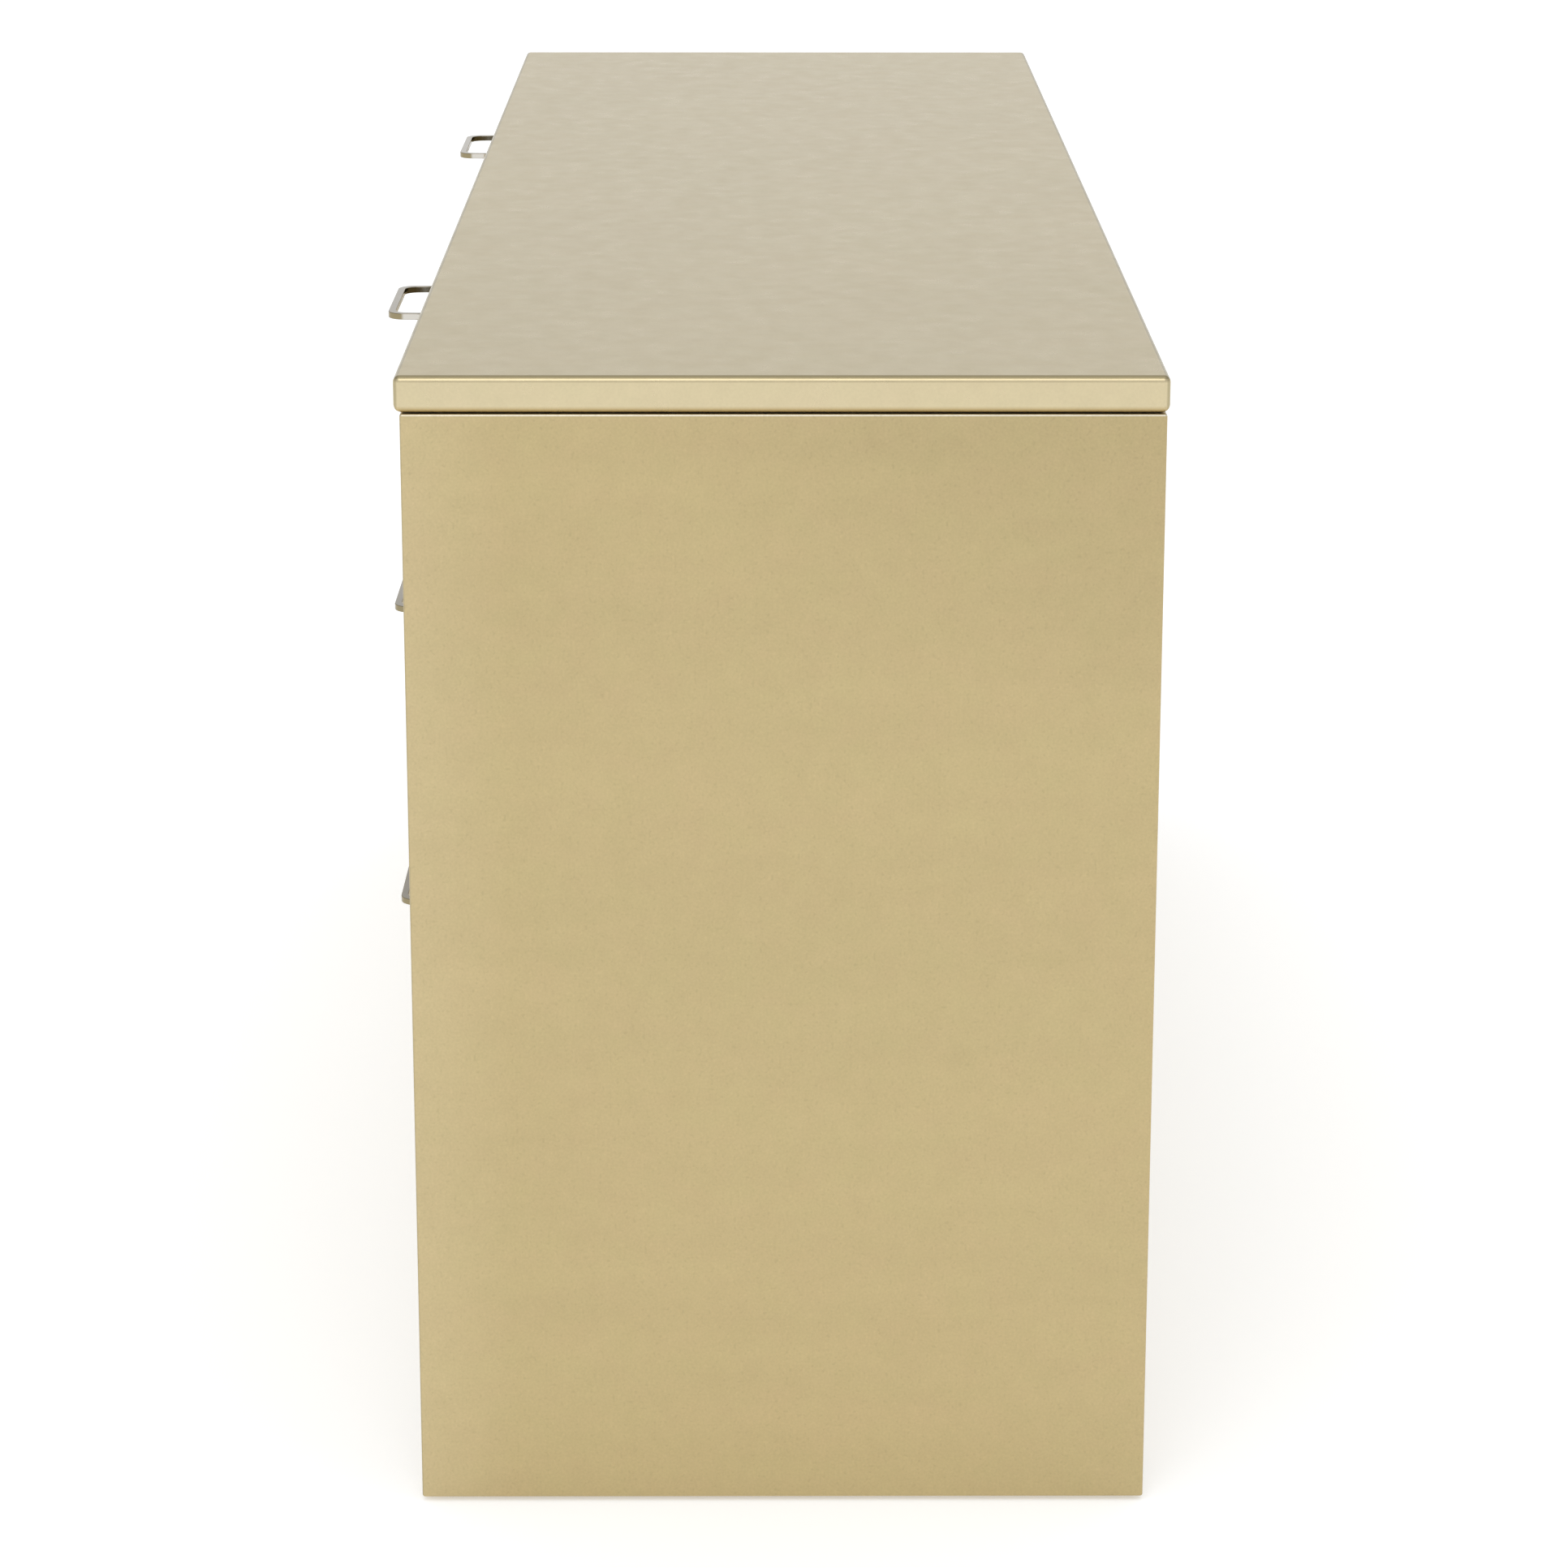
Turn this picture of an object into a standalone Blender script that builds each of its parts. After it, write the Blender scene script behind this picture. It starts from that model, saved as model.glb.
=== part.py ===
"""Long, low steel filing cabinet: two columns of three drawers, built from its separate pieces.

Folded sheet-steel case with double end walls, a cap-like top, six drawers on two-member
slides, flat-bar bow pulls, legal-size hanging rails in the two bottom drawers and four glides.

World frame: metres, +Z up, drawers open towards -Y, length along X.
The origin is under the middle of the whole cabinet's box, at floor level.
"""

import math

import bmesh
import bpy
from mathutils import Vector

# ---- driving dimensions (metres) ----

SHEET = 0.0012  # steel sheet of every folded piece
TOUCH = 0.0003  # gap left where two pieces meet face to face

TOP_LENGTH = 1.524
BODY_DEPTH = 0.4572
TOP_HEIGHT = 0.0226
TOP_REVEAL = 0.0012  # shadow gap between the top and the case
TOP_OVERHANG_END = 0.002
TOP_OVERHANG_FRONT = 0.0035
TOP_OVERHANG_BACK = 0.0015
TOP_EDGE_RADIUS = 0.0035
TOP_LIP = 0.024  # width of the lip turned in under the top

END_THICKNESS = 0.038
END_EDGE_RADIUS = 0.003
DIVIDER_THICKNESS = 0.018
DIVIDER_BEND = 0.002

TOP_FRONT_HEIGHT = 0.200
MIDDLE_FRONT_HEIGHT = 0.207
FRONT_THICKNESS = 0.019
FRONT_GAP = 0.003  # between fronts, and over the base rail
FRONT_SIDE_GAP = 0.0015  # between a front and its end panel, or the middle of the case
FRONT_EDGE_RADIUS = 0.002

BOX_TOP_GAPS = (0.038, 0.035, 0.029)  # box edge below the front's upper edge, top row first
BOX_LIFT = 0.012  # underside of a drawer box above the lower edge of its front
BOX_BACK_CLEARANCE = 0.0109  # between a closed box and the back panel's turned edges
BOX_BEND = 0.003

SLIDE_SPACE = 0.0135  # between a drawer box and the wall beside it
SLIDE_SHORTER = 0.015  # a slide is this much shorter than its drawer box
SLIDE_SETBACK = 0.005  # front end of the fixed channel behind the drawer fronts
RUNNER_SETBACK = 0.002  # front end of the runner behind the drawer box's front
CHANNEL_HEIGHT = 0.046
CHANNEL_BOX_GAP = 0.0037  # mouth of the channel to the drawer box
RUNNER_CLEARANCE = 0.0028  # over and under the runner, inside the channel
RUNNER_WALL_GAP = 0.004  # mouth of the runner to the wall
SLIDE_CENTRE_LIFT = 0.060  # slide centre line above the underside of its drawer box

HANDLE_CENTRES = 0.1016  # between the two fixing screws
HANDLE_PROJECTION = 0.036
HANDLE_BAR_WIDTH = 0.005  # seen from above
HANDLE_BAR_HEIGHT = 0.0042
HANDLE_LEG_ROOT = 0.0042  # width of a leg where it meets the front
HANDLE_OUTER_RADIUS = 0.012
HANDLE_INNER_RADIUS = 0.009
HANDLE_EDGE_RADIUS = 0.0007
HANDLE_DROP = 0.0055  # bar centre below the upper edge of its front

BASE_RAIL_HEIGHT = 0.0192
BASE_RAIL_DEPTH = 0.018
BASE_RAIL_SETBACK = 0.001
BOTTOM_PAN_HEIGHT = 0.015
TOP_RAIL_HEIGHT = 0.019
TOP_RAIL_DEPTH = 0.025
BACK_FLANGE = 0.012
RAIL_BEND = 0.002

GLIDE_STANDOFF = 0.003  # case above the floor
GLIDE_PAD_RADIUS = 0.015
GLIDE_PAD_HEIGHT = 0.0045
GLIDE_COLLAR_RADIUS = 0.007
GLIDE_COLLAR_HEIGHT = 0.007
GLIDE_STEM_RADIUS = 0.004
GLIDE_STEM_ABOVE_PAN = 0.0088
GLIDE_HOLE_CLEARANCE = 0.0006
GLIDE_INSET_END = 0.060  # glide centre from the inner face of an end wall
GLIDE_INSET_FRONT = 0.055
GLIDE_INSET_BACK = 0.045
GLIDE_SIDES = 16

FILE_RAIL_HANG = 0.243  # upper edge of a hanging rail above the drawer's floor
FILE_RAIL_HEIGHT = 0.012
FILE_RAIL_THICKNESS = 0.003
FILE_RAIL_LEG = 0.014
FILE_RAIL_FOOT = 0.110  # foot of a rail's leg above the drawer's floor
FILE_RAIL_INSET = 0.0113  # rail centre from the inside of the box: 390 mm apart, for legal-size folders
FOLDER_TAB_ROOM = 0.0098  # upper edge of the rails below the upper edge of the front

# ---- what follows from them ----

FILE_FRONT_HEIGHT = BOX_LIFT + SHEET + FILE_RAIL_HANG + FOLDER_TAB_ROOM
FRONT_HEIGHTS = (TOP_FRONT_HEIGHT, MIDDLE_FRONT_HEIGHT, FILE_FRONT_HEIGHT)
BOX_HEIGHTS = [front - BOX_LIFT - gap for front, gap in zip(FRONT_HEIGHTS, BOX_TOP_GAPS)]
BODY_LENGTH = TOP_LENGTH - 2 * TOP_OVERHANG_END
CASE_BOTTOM = GLIDE_STANDOFF
BASE_RAIL_TOP = CASE_BOTTOM + BASE_RAIL_HEIGHT
CASE_TOP = BASE_RAIL_TOP + FRONT_GAP * len(FRONT_HEIGHTS) + sum(FRONT_HEIGHTS)
TOP_BOTTOM = CASE_TOP + TOP_REVEAL
OVERALL_DEPTH = HANDLE_PROJECTION + BODY_DEPTH + TOP_OVERHANG_BACK
FRONT_Y = HANDLE_PROJECTION - OVERALL_DEPTH / 2
BACK_Y = FRONT_Y + BODY_DEPTH
END_INNER_X = BODY_LENGTH / 2 - END_THICKNESS
BOX_FRONT_Y = FRONT_Y + FRONT_THICKNESS + TOUCH
BOTTOM_PAN_TOP = BASE_RAIL_TOP
BOX_DEPTH = BODY_DEPTH - FRONT_THICKNESS - TOUCH - BOX_BACK_CLEARANCE - BACK_FLANGE
SLIDE_LENGTH = BOX_DEPTH - SLIDE_SHORTER
CHANNEL_FLANGE = SLIDE_SPACE - TOUCH - CHANNEL_BOX_GAP
RUNNER_FLANGE = SLIDE_SPACE - TOUCH - RUNNER_WALL_GAP
RUNNER_HEIGHT = CHANNEL_HEIGHT - 2 * (SHEET + RUNNER_CLEARANCE)
FILE_RAIL_REACH = BOX_DEPTH / 2 - SHEET - FILE_RAIL_INSET
GLIDE_STEM_TOP = BOTTOM_PAN_TOP + GLIDE_STEM_ABOVE_PAN

ROWS = ("top", "middle", "bottom")
COLUMNS = (("left", -1), ("right", 1))
OUTWARD = {
    "+X": Vector((1, 0, 0)),
    "-X": Vector((-1, 0, 0)),
    "+Y": Vector((0, 1, 0)),
    "-Y": Vector((0, -1, 0)),
    "+Z": Vector((0, 0, 1)),
    "-Z": Vector((0, 0, -1)),
}

CHAMPAGNE = ("champagne_paint", (0.56, 0.45, 0.24), 0.8, 0.38)
CHAMPAGNE_DARK = ("champagne_paint_inside", (0.42, 0.34, 0.19), 0.6, 0.5)
CHROME = ("polished_chrome", (0.80, 0.80, 0.80), 1.0, 0.06)
ZINC = ("zinc_plate", (0.55, 0.56, 0.57), 0.9, 0.35)
GREY_RAIL = ("rail_steel", (0.45, 0.45, 0.44), 0.9, 0.4)
BLACK_PLASTIC = ("glide_plastic", (0.03, 0.03, 0.03), 0.0, 0.55)


def remove_all_objects():
    for obj in list(bpy.data.objects):
        bpy.data.objects.remove(obj, do_unlink=True)


def new_collection(name):
    collection = bpy.data.collections.new(name)
    bpy.context.scene.collection.children.link(collection)
    return collection


def finish_material(obj, finish):
    """Gives a piece its own Principled material."""
    base_name, colour, metallic, roughness = finish
    material = bpy.data.materials.new(f"{base_name}_{obj.name}")
    material.use_nodes = True
    shader = material.node_tree.nodes["Principled BSDF"]
    shader.inputs["Base Color"].default_value = (*colour, 1.0)
    shader.inputs["Metallic"].default_value = metallic
    shader.inputs["Roughness"].default_value = roughness
    obj.data.materials.append(material)


def add_piece(name, data, centre, finish, parent=None):
    """Links a piece, placed in the world or within the drawer that carries it."""
    obj = bpy.data.objects.new(name, data)
    cabinet.objects.link(obj)
    obj.parent = parent
    obj.location = Vector(centre) - (parent.location if parent else Vector())
    finish_material(obj, finish)
    return obj


def block_mesh(name, size, open_sides=()):
    """A rectangular block's skin about its own centre, without the sides named as +X, -Z and so on."""
    mesh = bpy.data.meshes.new(name)
    bm = bmesh.new()
    bmesh.ops.create_cube(bm, size=1.0)
    bmesh.ops.scale(bm, vec=size, verts=bm.verts)
    bm.normal_update()
    gone = [face for face in bm.faces if any(face.normal.dot(OUTWARD[side]) > 0.9 for side in open_sides)]
    bmesh.ops.delete(bm, geom=gone, context="FACES")
    bm.to_mesh(mesh)
    bm.free()
    return mesh


def rounded_plate_mesh(name, size, radius):
    """A plate facing X, with its four corners rounded."""
    mesh = block_mesh(name, size)
    bm = bmesh.new()
    bm.from_mesh(mesh)
    ends = [(edge, [vert.co for vert in edge.verts]) for edge in bm.edges]
    corners = [edge for edge, (a, b) in ends if abs(a.x - b.x) > size[0] / 2]
    bmesh.ops.bevel(bm, geom=corners, offset=radius, segments=3, affect="EDGES")
    bm.to_mesh(mesh)
    bm.free()
    return mesh


def round_edges(obj, radius, segments):
    bevel = obj.modifiers.new("folded_edges", "BEVEL")
    bevel.width = radius
    bevel.segments = segments
    bevel.limit_method = "ANGLE"
    bevel.angle_limit = math.radians(40)


def add_thickness(obj, thickness=SHEET):
    wall = obj.modifiers.new("sheet", "SOLIDIFY")
    wall.thickness = thickness
    wall.offset = -1
    wall.use_even_offset = True
    wall.use_quality_normals = True


def folded_sheet(name, low, high, open_sides, finish, bend=0.0, segments=2, parent=None):
    """Sheet steel folded round a block's outside, from its low to its high corner."""
    low, high = Vector(low), Vector(high)
    obj = add_piece(name, block_mesh(name, high - low, open_sides), (low + high) / 2, finish, parent)
    if bend:
        round_edges(obj, bend, segments)
    add_thickness(obj)
    return obj


def flat_outline(name, points, thickness, centre, finish, upright=False, parent=None):
    """A plate cut to an outline, lying flat or standing along X."""
    curve = bpy.data.curves.new(name, "CURVE")
    curve.dimensions = "2D"
    curve.fill_mode = "BOTH"
    curve.extrude = thickness / 2
    spline = curve.splines.new("POLY")
    spline.points.add(len(points) - 1)
    for point, (x, y) in zip(spline.points, points):
        point.co = (x, y, 0, 1)
    spline.use_cyclic_u = True
    obj = add_piece(name, curve, centre, finish, parent)
    if upright:
        obj.rotation_euler.x = math.radians(90)
    weld = obj.modifiers.new("close_caps", "WELD")
    weld.merge_threshold = 0.00001
    return obj


def arc(centre, radius, start, end, steps):
    """Points on an arc, with its angles in degrees."""
    angles = [math.radians(start + (end - start) * step / steps) for step in range(steps + 1)]
    return [(centre[0] + radius * math.cos(a), centre[1] + radius * math.sin(a)) for a in angles]


# ---- case ----


def make_top():
    """Top pressed as a shallow lid, with a lip turned in underneath all round."""
    low = Vector((-TOP_LENGTH / 2, FRONT_Y - TOP_OVERHANG_FRONT, TOP_BOTTOM))
    high = Vector((TOP_LENGTH / 2, BACK_Y + TOP_OVERHANG_BACK, TOP_BOTTOM + TOP_HEIGHT))
    mesh = block_mesh("top", high - low)
    bm = bmesh.new()
    bm.from_mesh(mesh)
    bm.normal_update()
    underside = [face for face in bm.faces if face.normal.z < -0.9]
    bmesh.ops.inset_region(bm, faces=underside, thickness=TOP_LIP)
    bmesh.ops.delete(bm, geom=underside, context="FACES")
    bm.to_mesh(mesh)
    bm.free()
    top = add_piece("top", mesh, (low + high) / 2, CHAMPAGNE)
    round_edges(top, TOP_EDGE_RADIUS, 3)
    add_thickness(top)


def make_end_walls():
    """Each end is a deep outer pan closed by a flat liner, which carries the slides."""
    for side, way in COLUMNS:
        inner, outer = sorted((way * END_INNER_X, way * BODY_LENGTH / 2))
        open_side = "-X" if way > 0 else "+X"
        folded_sheet(
            f"end_panel_{side}",
            (inner, FRONT_Y, CASE_BOTTOM),
            (outer, BACK_Y, CASE_TOP),
            [open_side],
            CHAMPAGNE,
            bend=END_EDGE_RADIUS,
            segments=3,
        )
        inset = SHEET + TOUCH
        size = (SHEET, BODY_DEPTH - 2 * inset, CASE_TOP - CASE_BOTTOM - 2 * inset)
        centre = (way * (END_INNER_X + SHEET / 2), (FRONT_Y + BACK_Y) / 2, (CASE_TOP + CASE_BOTTOM) / 2)
        name = f"end_liner_{side}"
        add_piece(name, rounded_plate_mesh(name, size, END_EDGE_RADIUS), centre, CHAMPAGNE_DARK)


def make_back():
    """Back sheet between the end walls, with its two side edges turned forward."""
    reach = END_INNER_X - TOUCH
    folded_sheet(
        "back_panel",
        (-reach, BACK_Y - BACK_FLANGE, CASE_BOTTOM),
        (reach, BACK_Y, CASE_TOP),
        ["-Y", "+Z", "-Z"],
        CHAMPAGNE,
        bend=RAIL_BEND,
    )


def make_divider():
    """Double-skinned upright between the two columns, open down its back edge."""
    folded_sheet(
        "centre_divider",
        (-DIVIDER_THICKNESS / 2, BOX_FRONT_Y, BOTTOM_PAN_TOP + TOUCH),
        (DIVIDER_THICKNESS / 2, BACK_Y - SHEET - TOUCH, CASE_TOP - TOP_RAIL_HEIGHT - TOUCH),
        ["+Y"],
        CHAMPAGNE_DARK,
        bend=DIVIDER_BEND,
    )


def glide_places():
    reach = END_INNER_X - GLIDE_INSET_END
    return [
        ("front_left", (-reach, FRONT_Y + GLIDE_INSET_FRONT)),
        ("front_right", (reach, FRONT_Y + GLIDE_INSET_FRONT)),
        ("back_left", (-reach, BACK_Y - GLIDE_INSET_BACK)),
        ("back_right", (reach, BACK_Y - GLIDE_INSET_BACK)),
    ]


def make_base():
    """Floor pan with its edges turned down, and the rail that closes the front under it."""
    reach = END_INNER_X - TOUCH
    rail_front = FRONT_Y + BASE_RAIL_SETBACK
    folded_sheet(
        "base_rail",
        (-reach, rail_front, CASE_BOTTOM),
        (reach, rail_front + BASE_RAIL_DEPTH, BASE_RAIL_TOP),
        ["+Y", "+X", "-X"],
        CHAMPAGNE,
        bend=RAIL_BEND,
    )
    side_reach = reach - SHEET - TOUCH
    pan = folded_sheet(
        "bottom_pan",
        (-side_reach, rail_front + BASE_RAIL_DEPTH + TOUCH, BOTTOM_PAN_TOP - BOTTOM_PAN_HEIGHT),
        (side_reach, BACK_Y - SHEET - TOUCH, BOTTOM_PAN_TOP),
        ["-Z"],
        CHAMPAGNE_DARK,
        bend=RAIL_BEND,
    )
    for place, (x, y) in glide_places():
        drill = drill_at(f"glide_hole_{place}", (x, y, BOTTOM_PAN_TOP))
        hole = pan.modifiers.new(drill.name, "BOOLEAN")
        hole.operation = "DIFFERENCE"
        hole.object = drill


def drill_at(name, centre):
    mesh = bpy.data.meshes.new(name)
    bm = bmesh.new()
    radius = GLIDE_STEM_RADIUS + GLIDE_HOLE_CLEARANCE
    bmesh.ops.create_cone(
        bm, cap_ends=True, segments=GLIDE_SIDES, radius1=radius, radius2=radius, depth=8 * SHEET
    )
    bm.to_mesh(mesh)
    bm.free()
    drill = bpy.data.objects.new(name, mesh)
    drill.location = centre
    drill.hide_render = True
    drill.display_type = "WIRE"
    cutters.objects.link(drill)
    return drill


def make_top_rail():
    """Channel that ties the end walls together over the drawers, behind their fronts."""
    reach = END_INNER_X - TOUCH
    folded_sheet(
        "top_rail",
        (-reach, BOX_FRONT_Y, CASE_TOP - TOP_RAIL_HEIGHT),
        (reach, BOX_FRONT_Y + TOP_RAIL_DEPTH, CASE_TOP),
        ["+Y", "+X", "-X"],
        CHAMPAGNE_DARK,
        bend=RAIL_BEND,
    )


def make_glides():
    """Screw-in plastic glides, turned in one with their stems."""
    profile = [
        (0, GLIDE_STEM_TOP),
        (GLIDE_STEM_RADIUS, GLIDE_STEM_TOP),
        (GLIDE_STEM_RADIUS, GLIDE_PAD_HEIGHT + GLIDE_COLLAR_HEIGHT),
        (GLIDE_COLLAR_RADIUS, GLIDE_PAD_HEIGHT + GLIDE_COLLAR_HEIGHT),
        (GLIDE_COLLAR_RADIUS, GLIDE_PAD_HEIGHT),
        (GLIDE_PAD_RADIUS, GLIDE_PAD_HEIGHT - 0.001),
        (GLIDE_PAD_RADIUS, 0.001),
        (GLIDE_PAD_RADIUS - 0.001, 0),
        (0, 0),
    ]
    for place, (x, y) in glide_places():
        name = f"glide_{place}"
        mesh = bpy.data.meshes.new(name)
        edges = [(step, step + 1) for step in range(len(profile) - 1)]
        mesh.from_pydata([(radius, 0, height) for radius, height in profile], edges, [])
        glide = add_piece(name, mesh, (x, y, 0), BLACK_PLASTIC)
        turn = glide.modifiers.new("turned", "SCREW")
        turn.steps = turn.render_steps = GLIDE_SIDES
        turn.use_merge_vertices = True
        turn.merge_threshold = 0.00001


# ---- drawers ----


def row_levels():
    """Row names with the lower and upper edge of their fronts, top row first."""
    levels = []
    upper = CASE_TOP
    for row, height in zip(ROWS, FRONT_HEIGHTS):
        levels.append((row, upper - height, upper))
        upper -= height + FRONT_GAP
    return levels


def make_front(name, way, lower, upper, drawer):
    """Double-skinned front, folded over at the top and sides and open underneath."""
    near, far = FRONT_SIDE_GAP, END_INNER_X - FRONT_SIDE_GAP
    left, right = sorted((way * near, way * far))
    folded_sheet(
        f"drawer_front_{name}",
        (left, FRONT_Y, lower),
        (right, FRONT_Y + FRONT_THICKNESS, upper),
        ["-Z"],
        CHAMPAGNE,
        bend=FRONT_EDGE_RADIUS,
        parent=drawer,
    )


def make_box(name, left, right, floor, height, drawer):
    folded_sheet(
        f"drawer_box_{name}",
        (left, BOX_FRONT_Y, floor),
        (right, BOX_FRONT_Y + BOX_DEPTH, floor + height),
        ["+Z"],
        CHAMPAGNE_DARK,
        bend=BOX_BEND,
        parent=drawer,
    )


def handle_outline():
    """Half-turned-over U of flat bar seen from above, with its feet on y = 0."""
    half = (HANDLE_CENTRES + HANDLE_BAR_WIDTH) / 2
    out = HANDLE_PROJECTION
    bar_inside = out - HANDLE_BAR_WIDTH
    leg_inside = half - HANDLE_BAR_WIDTH
    outer, inner = HANDLE_OUTER_RADIUS, HANDLE_INNER_RADIUS
    root = half - HANDLE_LEG_ROOT
    right_side = [(half, -TOUCH)]
    right_side += arc((half - outer, -(out - outer)), outer, 0, -90, 5)
    left_side = [(-x, y) for x, y in reversed(right_side)]
    inside_left = [(-root, -TOUCH)]
    inside_left += arc((-(leg_inside - inner), -(bar_inside - inner)), inner, 180, 270, 5)
    inside_right = [(-x, y) for x, y in reversed(inside_left)]
    return right_side + left_side + inside_left + inside_right


def make_handle(name, way, upper, drawer):
    centre_x = way * END_INNER_X / 2
    handle = flat_outline(
        f"handle_{name}",
        handle_outline(),
        HANDLE_BAR_HEIGHT,
        (centre_x, FRONT_Y, upper - HANDLE_DROP),
        CHROME,
        parent=drawer,
    )
    round_edges(handle, HANDLE_EDGE_RADIUS, 2)


def make_slide(name, wall_x, into, floor, drawer):
    """Fixed channel on the wall at wall_x, and the runner on the drawer box that faces it."""
    centre = floor + SLIDE_CENTRE_LIFT
    mouth = "+X" if into > 0 else "-X"
    mount = "-X" if into > 0 else "+X"
    near = wall_x + into * TOUCH
    channel = sorted((near, near + into * CHANNEL_FLANGE))
    start = FRONT_Y + FRONT_THICKNESS + SLIDE_SETBACK
    folded_sheet(
        f"slide_channel_{name}",
        (channel[0], start, centre - CHANNEL_HEIGHT / 2),
        (channel[1], start + SLIDE_LENGTH, centre + CHANNEL_HEIGHT / 2),
        [mouth, "+Y", "-Y"],
        ZINC,
    )
    box_side = wall_x + into * (SLIDE_SPACE - TOUCH)
    runner = sorted((box_side, box_side - into * RUNNER_FLANGE))
    start = BOX_FRONT_Y + RUNNER_SETBACK
    folded_sheet(
        f"slide_runner_{name}",
        (runner[0], start, centre - RUNNER_HEIGHT / 2),
        (runner[1], start + SLIDE_LENGTH, centre + RUNNER_HEIGHT / 2),
        [mount, "+Y", "-Y"],
        ZINC,
        parent=drawer,
    )


def make_file_rails(side, left, right, floor, drawer):
    """Two flat rails across the drawer, on legs inside its side walls, for hanging folders."""
    inside = (right - left) / 2 - SHEET - TOUCH
    top = FILE_RAIL_HANG
    under = top - FILE_RAIL_HEIGHT
    leg = inside - FILE_RAIL_LEG
    half_outline = [(leg, under), (leg, FILE_RAIL_FOOT), (inside, FILE_RAIL_FOOT), (inside, top)]
    outline = half_outline + [(-x, z) for x, z in reversed(half_outline)]
    middle = BOX_FRONT_Y + BOX_DEPTH / 2
    for place, way in (("front", -1), ("back", 1)):
        flat_outline(
            f"file_rail_{side}_{place}",
            outline,
            FILE_RAIL_THICKNESS,
            ((left + right) / 2, middle + way * FILE_RAIL_REACH, floor + SHEET),
            GREY_RAIL,
            upright=True,
            parent=drawer,
        )


def make_drawer(side, way, row, lower, upper, box_height):
    name = f"{side}_{row}"
    drawer = bpy.data.objects.new(f"drawer_{name}", None)
    drawer.location = (way * END_INNER_X / 2, FRONT_Y, (lower + upper) / 2)
    cabinet.objects.link(drawer)
    wall_near = way * DIVIDER_THICKNESS / 2
    wall_far = way * END_INNER_X
    left, right = sorted((wall_near + way * SLIDE_SPACE, wall_far - way * SLIDE_SPACE))
    floor = lower + BOX_LIFT
    make_front(name, way, lower, upper, drawer)
    make_box(name, left, right, floor, box_height, drawer)
    make_handle(name, way, upper, drawer)
    make_slide(f"{name}_inner", wall_near, way, floor, drawer)
    make_slide(f"{name}_outer", wall_far, -way, floor, drawer)
    if row == "bottom":
        make_file_rails(side, left, right, floor, drawer)


remove_all_objects()
cabinet = new_collection("filing_cabinet")
cutters = new_collection("cutters")

make_top()
make_end_walls()
make_back()
make_base()
make_divider()
make_top_rail()
make_glides()
for side_name, side_way in COLUMNS:
    for (row_name, front_lower, front_upper), height_of_box in zip(row_levels(), BOX_HEIGHTS):
        make_drawer(side_name, side_way, row_name, front_lower, front_upper, height_of_box)
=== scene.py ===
import math

import bmesh
import bpy
from mathutils import Matrix, Vector


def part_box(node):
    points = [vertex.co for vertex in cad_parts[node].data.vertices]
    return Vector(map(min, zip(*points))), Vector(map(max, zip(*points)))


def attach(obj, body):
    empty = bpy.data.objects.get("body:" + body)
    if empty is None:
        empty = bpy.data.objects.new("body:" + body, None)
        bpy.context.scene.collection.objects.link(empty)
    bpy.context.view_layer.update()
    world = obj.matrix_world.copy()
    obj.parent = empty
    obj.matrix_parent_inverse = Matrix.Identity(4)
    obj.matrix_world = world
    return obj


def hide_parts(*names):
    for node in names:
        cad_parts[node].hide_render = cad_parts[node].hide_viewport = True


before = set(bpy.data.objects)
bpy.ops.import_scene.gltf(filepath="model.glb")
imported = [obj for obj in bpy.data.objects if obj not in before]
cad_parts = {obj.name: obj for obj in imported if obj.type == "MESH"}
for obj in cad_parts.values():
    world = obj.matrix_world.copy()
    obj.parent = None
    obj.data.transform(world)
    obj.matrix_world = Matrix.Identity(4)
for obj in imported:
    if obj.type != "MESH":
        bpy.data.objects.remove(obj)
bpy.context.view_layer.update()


# ---- Studio ----
# A white floor, lit from below as on a light table, under a soft dome that is bright at its
# foot and overhead, with one very wide soft lamp high up on the viewer's side. The viewer
# stands beyond the right-hand end and looks down the length of the cabinet.

FLOOR_REACH = 60.0
FLOOR_PAINT = (0.925, 0.94, 0.965)
FLOOR_GLOW = 0.36
DOME_SHADES = [(0.0, 0.92), (0.14, 0.90), (0.34, 0.64), (0.78, 0.56), (0.96, 0.95)]  # by height, 0 level
LAMP_POWER = 0.55
LAMP_WIDTH = 40  # degrees
LAMP_AIM = (-0.60, 0.10, -0.79)
CAMERA_PLACE = (3.320, 0.006, 1.243)
CAMERA_PITCH = 14.65  # degrees below level
CAMERA_YAW = -0.26
CAMERA_ROLL = 0.05
CAMERA_LENS = 100.9
CAMERA_RISE = -0.10

floor_mesh = bpy.data.meshes.new("studio_floor")
floor_bm = bmesh.new()
bmesh.ops.create_grid(floor_bm, x_segments=1, y_segments=1, size=FLOOR_REACH)
floor_bm.to_mesh(floor_mesh)
floor_bm.free()
studio_floor = bpy.data.objects.new("studio_floor", floor_mesh)
bpy.context.scene.collection.objects.link(studio_floor)
floor_paint = bpy.data.materials.new("pale_floor")
floor_paint.use_nodes = True
floor_shader = floor_paint.node_tree.nodes["Principled BSDF"]
floor_shader.inputs["Base Color"].default_value = (*FLOOR_PAINT, 1)
floor_shader.inputs["Roughness"].default_value = 0.9
floor_shader.inputs["Specular IOR Level"].default_value = 0.1
floor_shader.inputs["Emission Color"].default_value = (1, 1, 1, 1)
floor_shader.inputs["Emission Strength"].default_value = FLOOR_GLOW
floor_mesh.materials.append(floor_paint)

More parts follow.
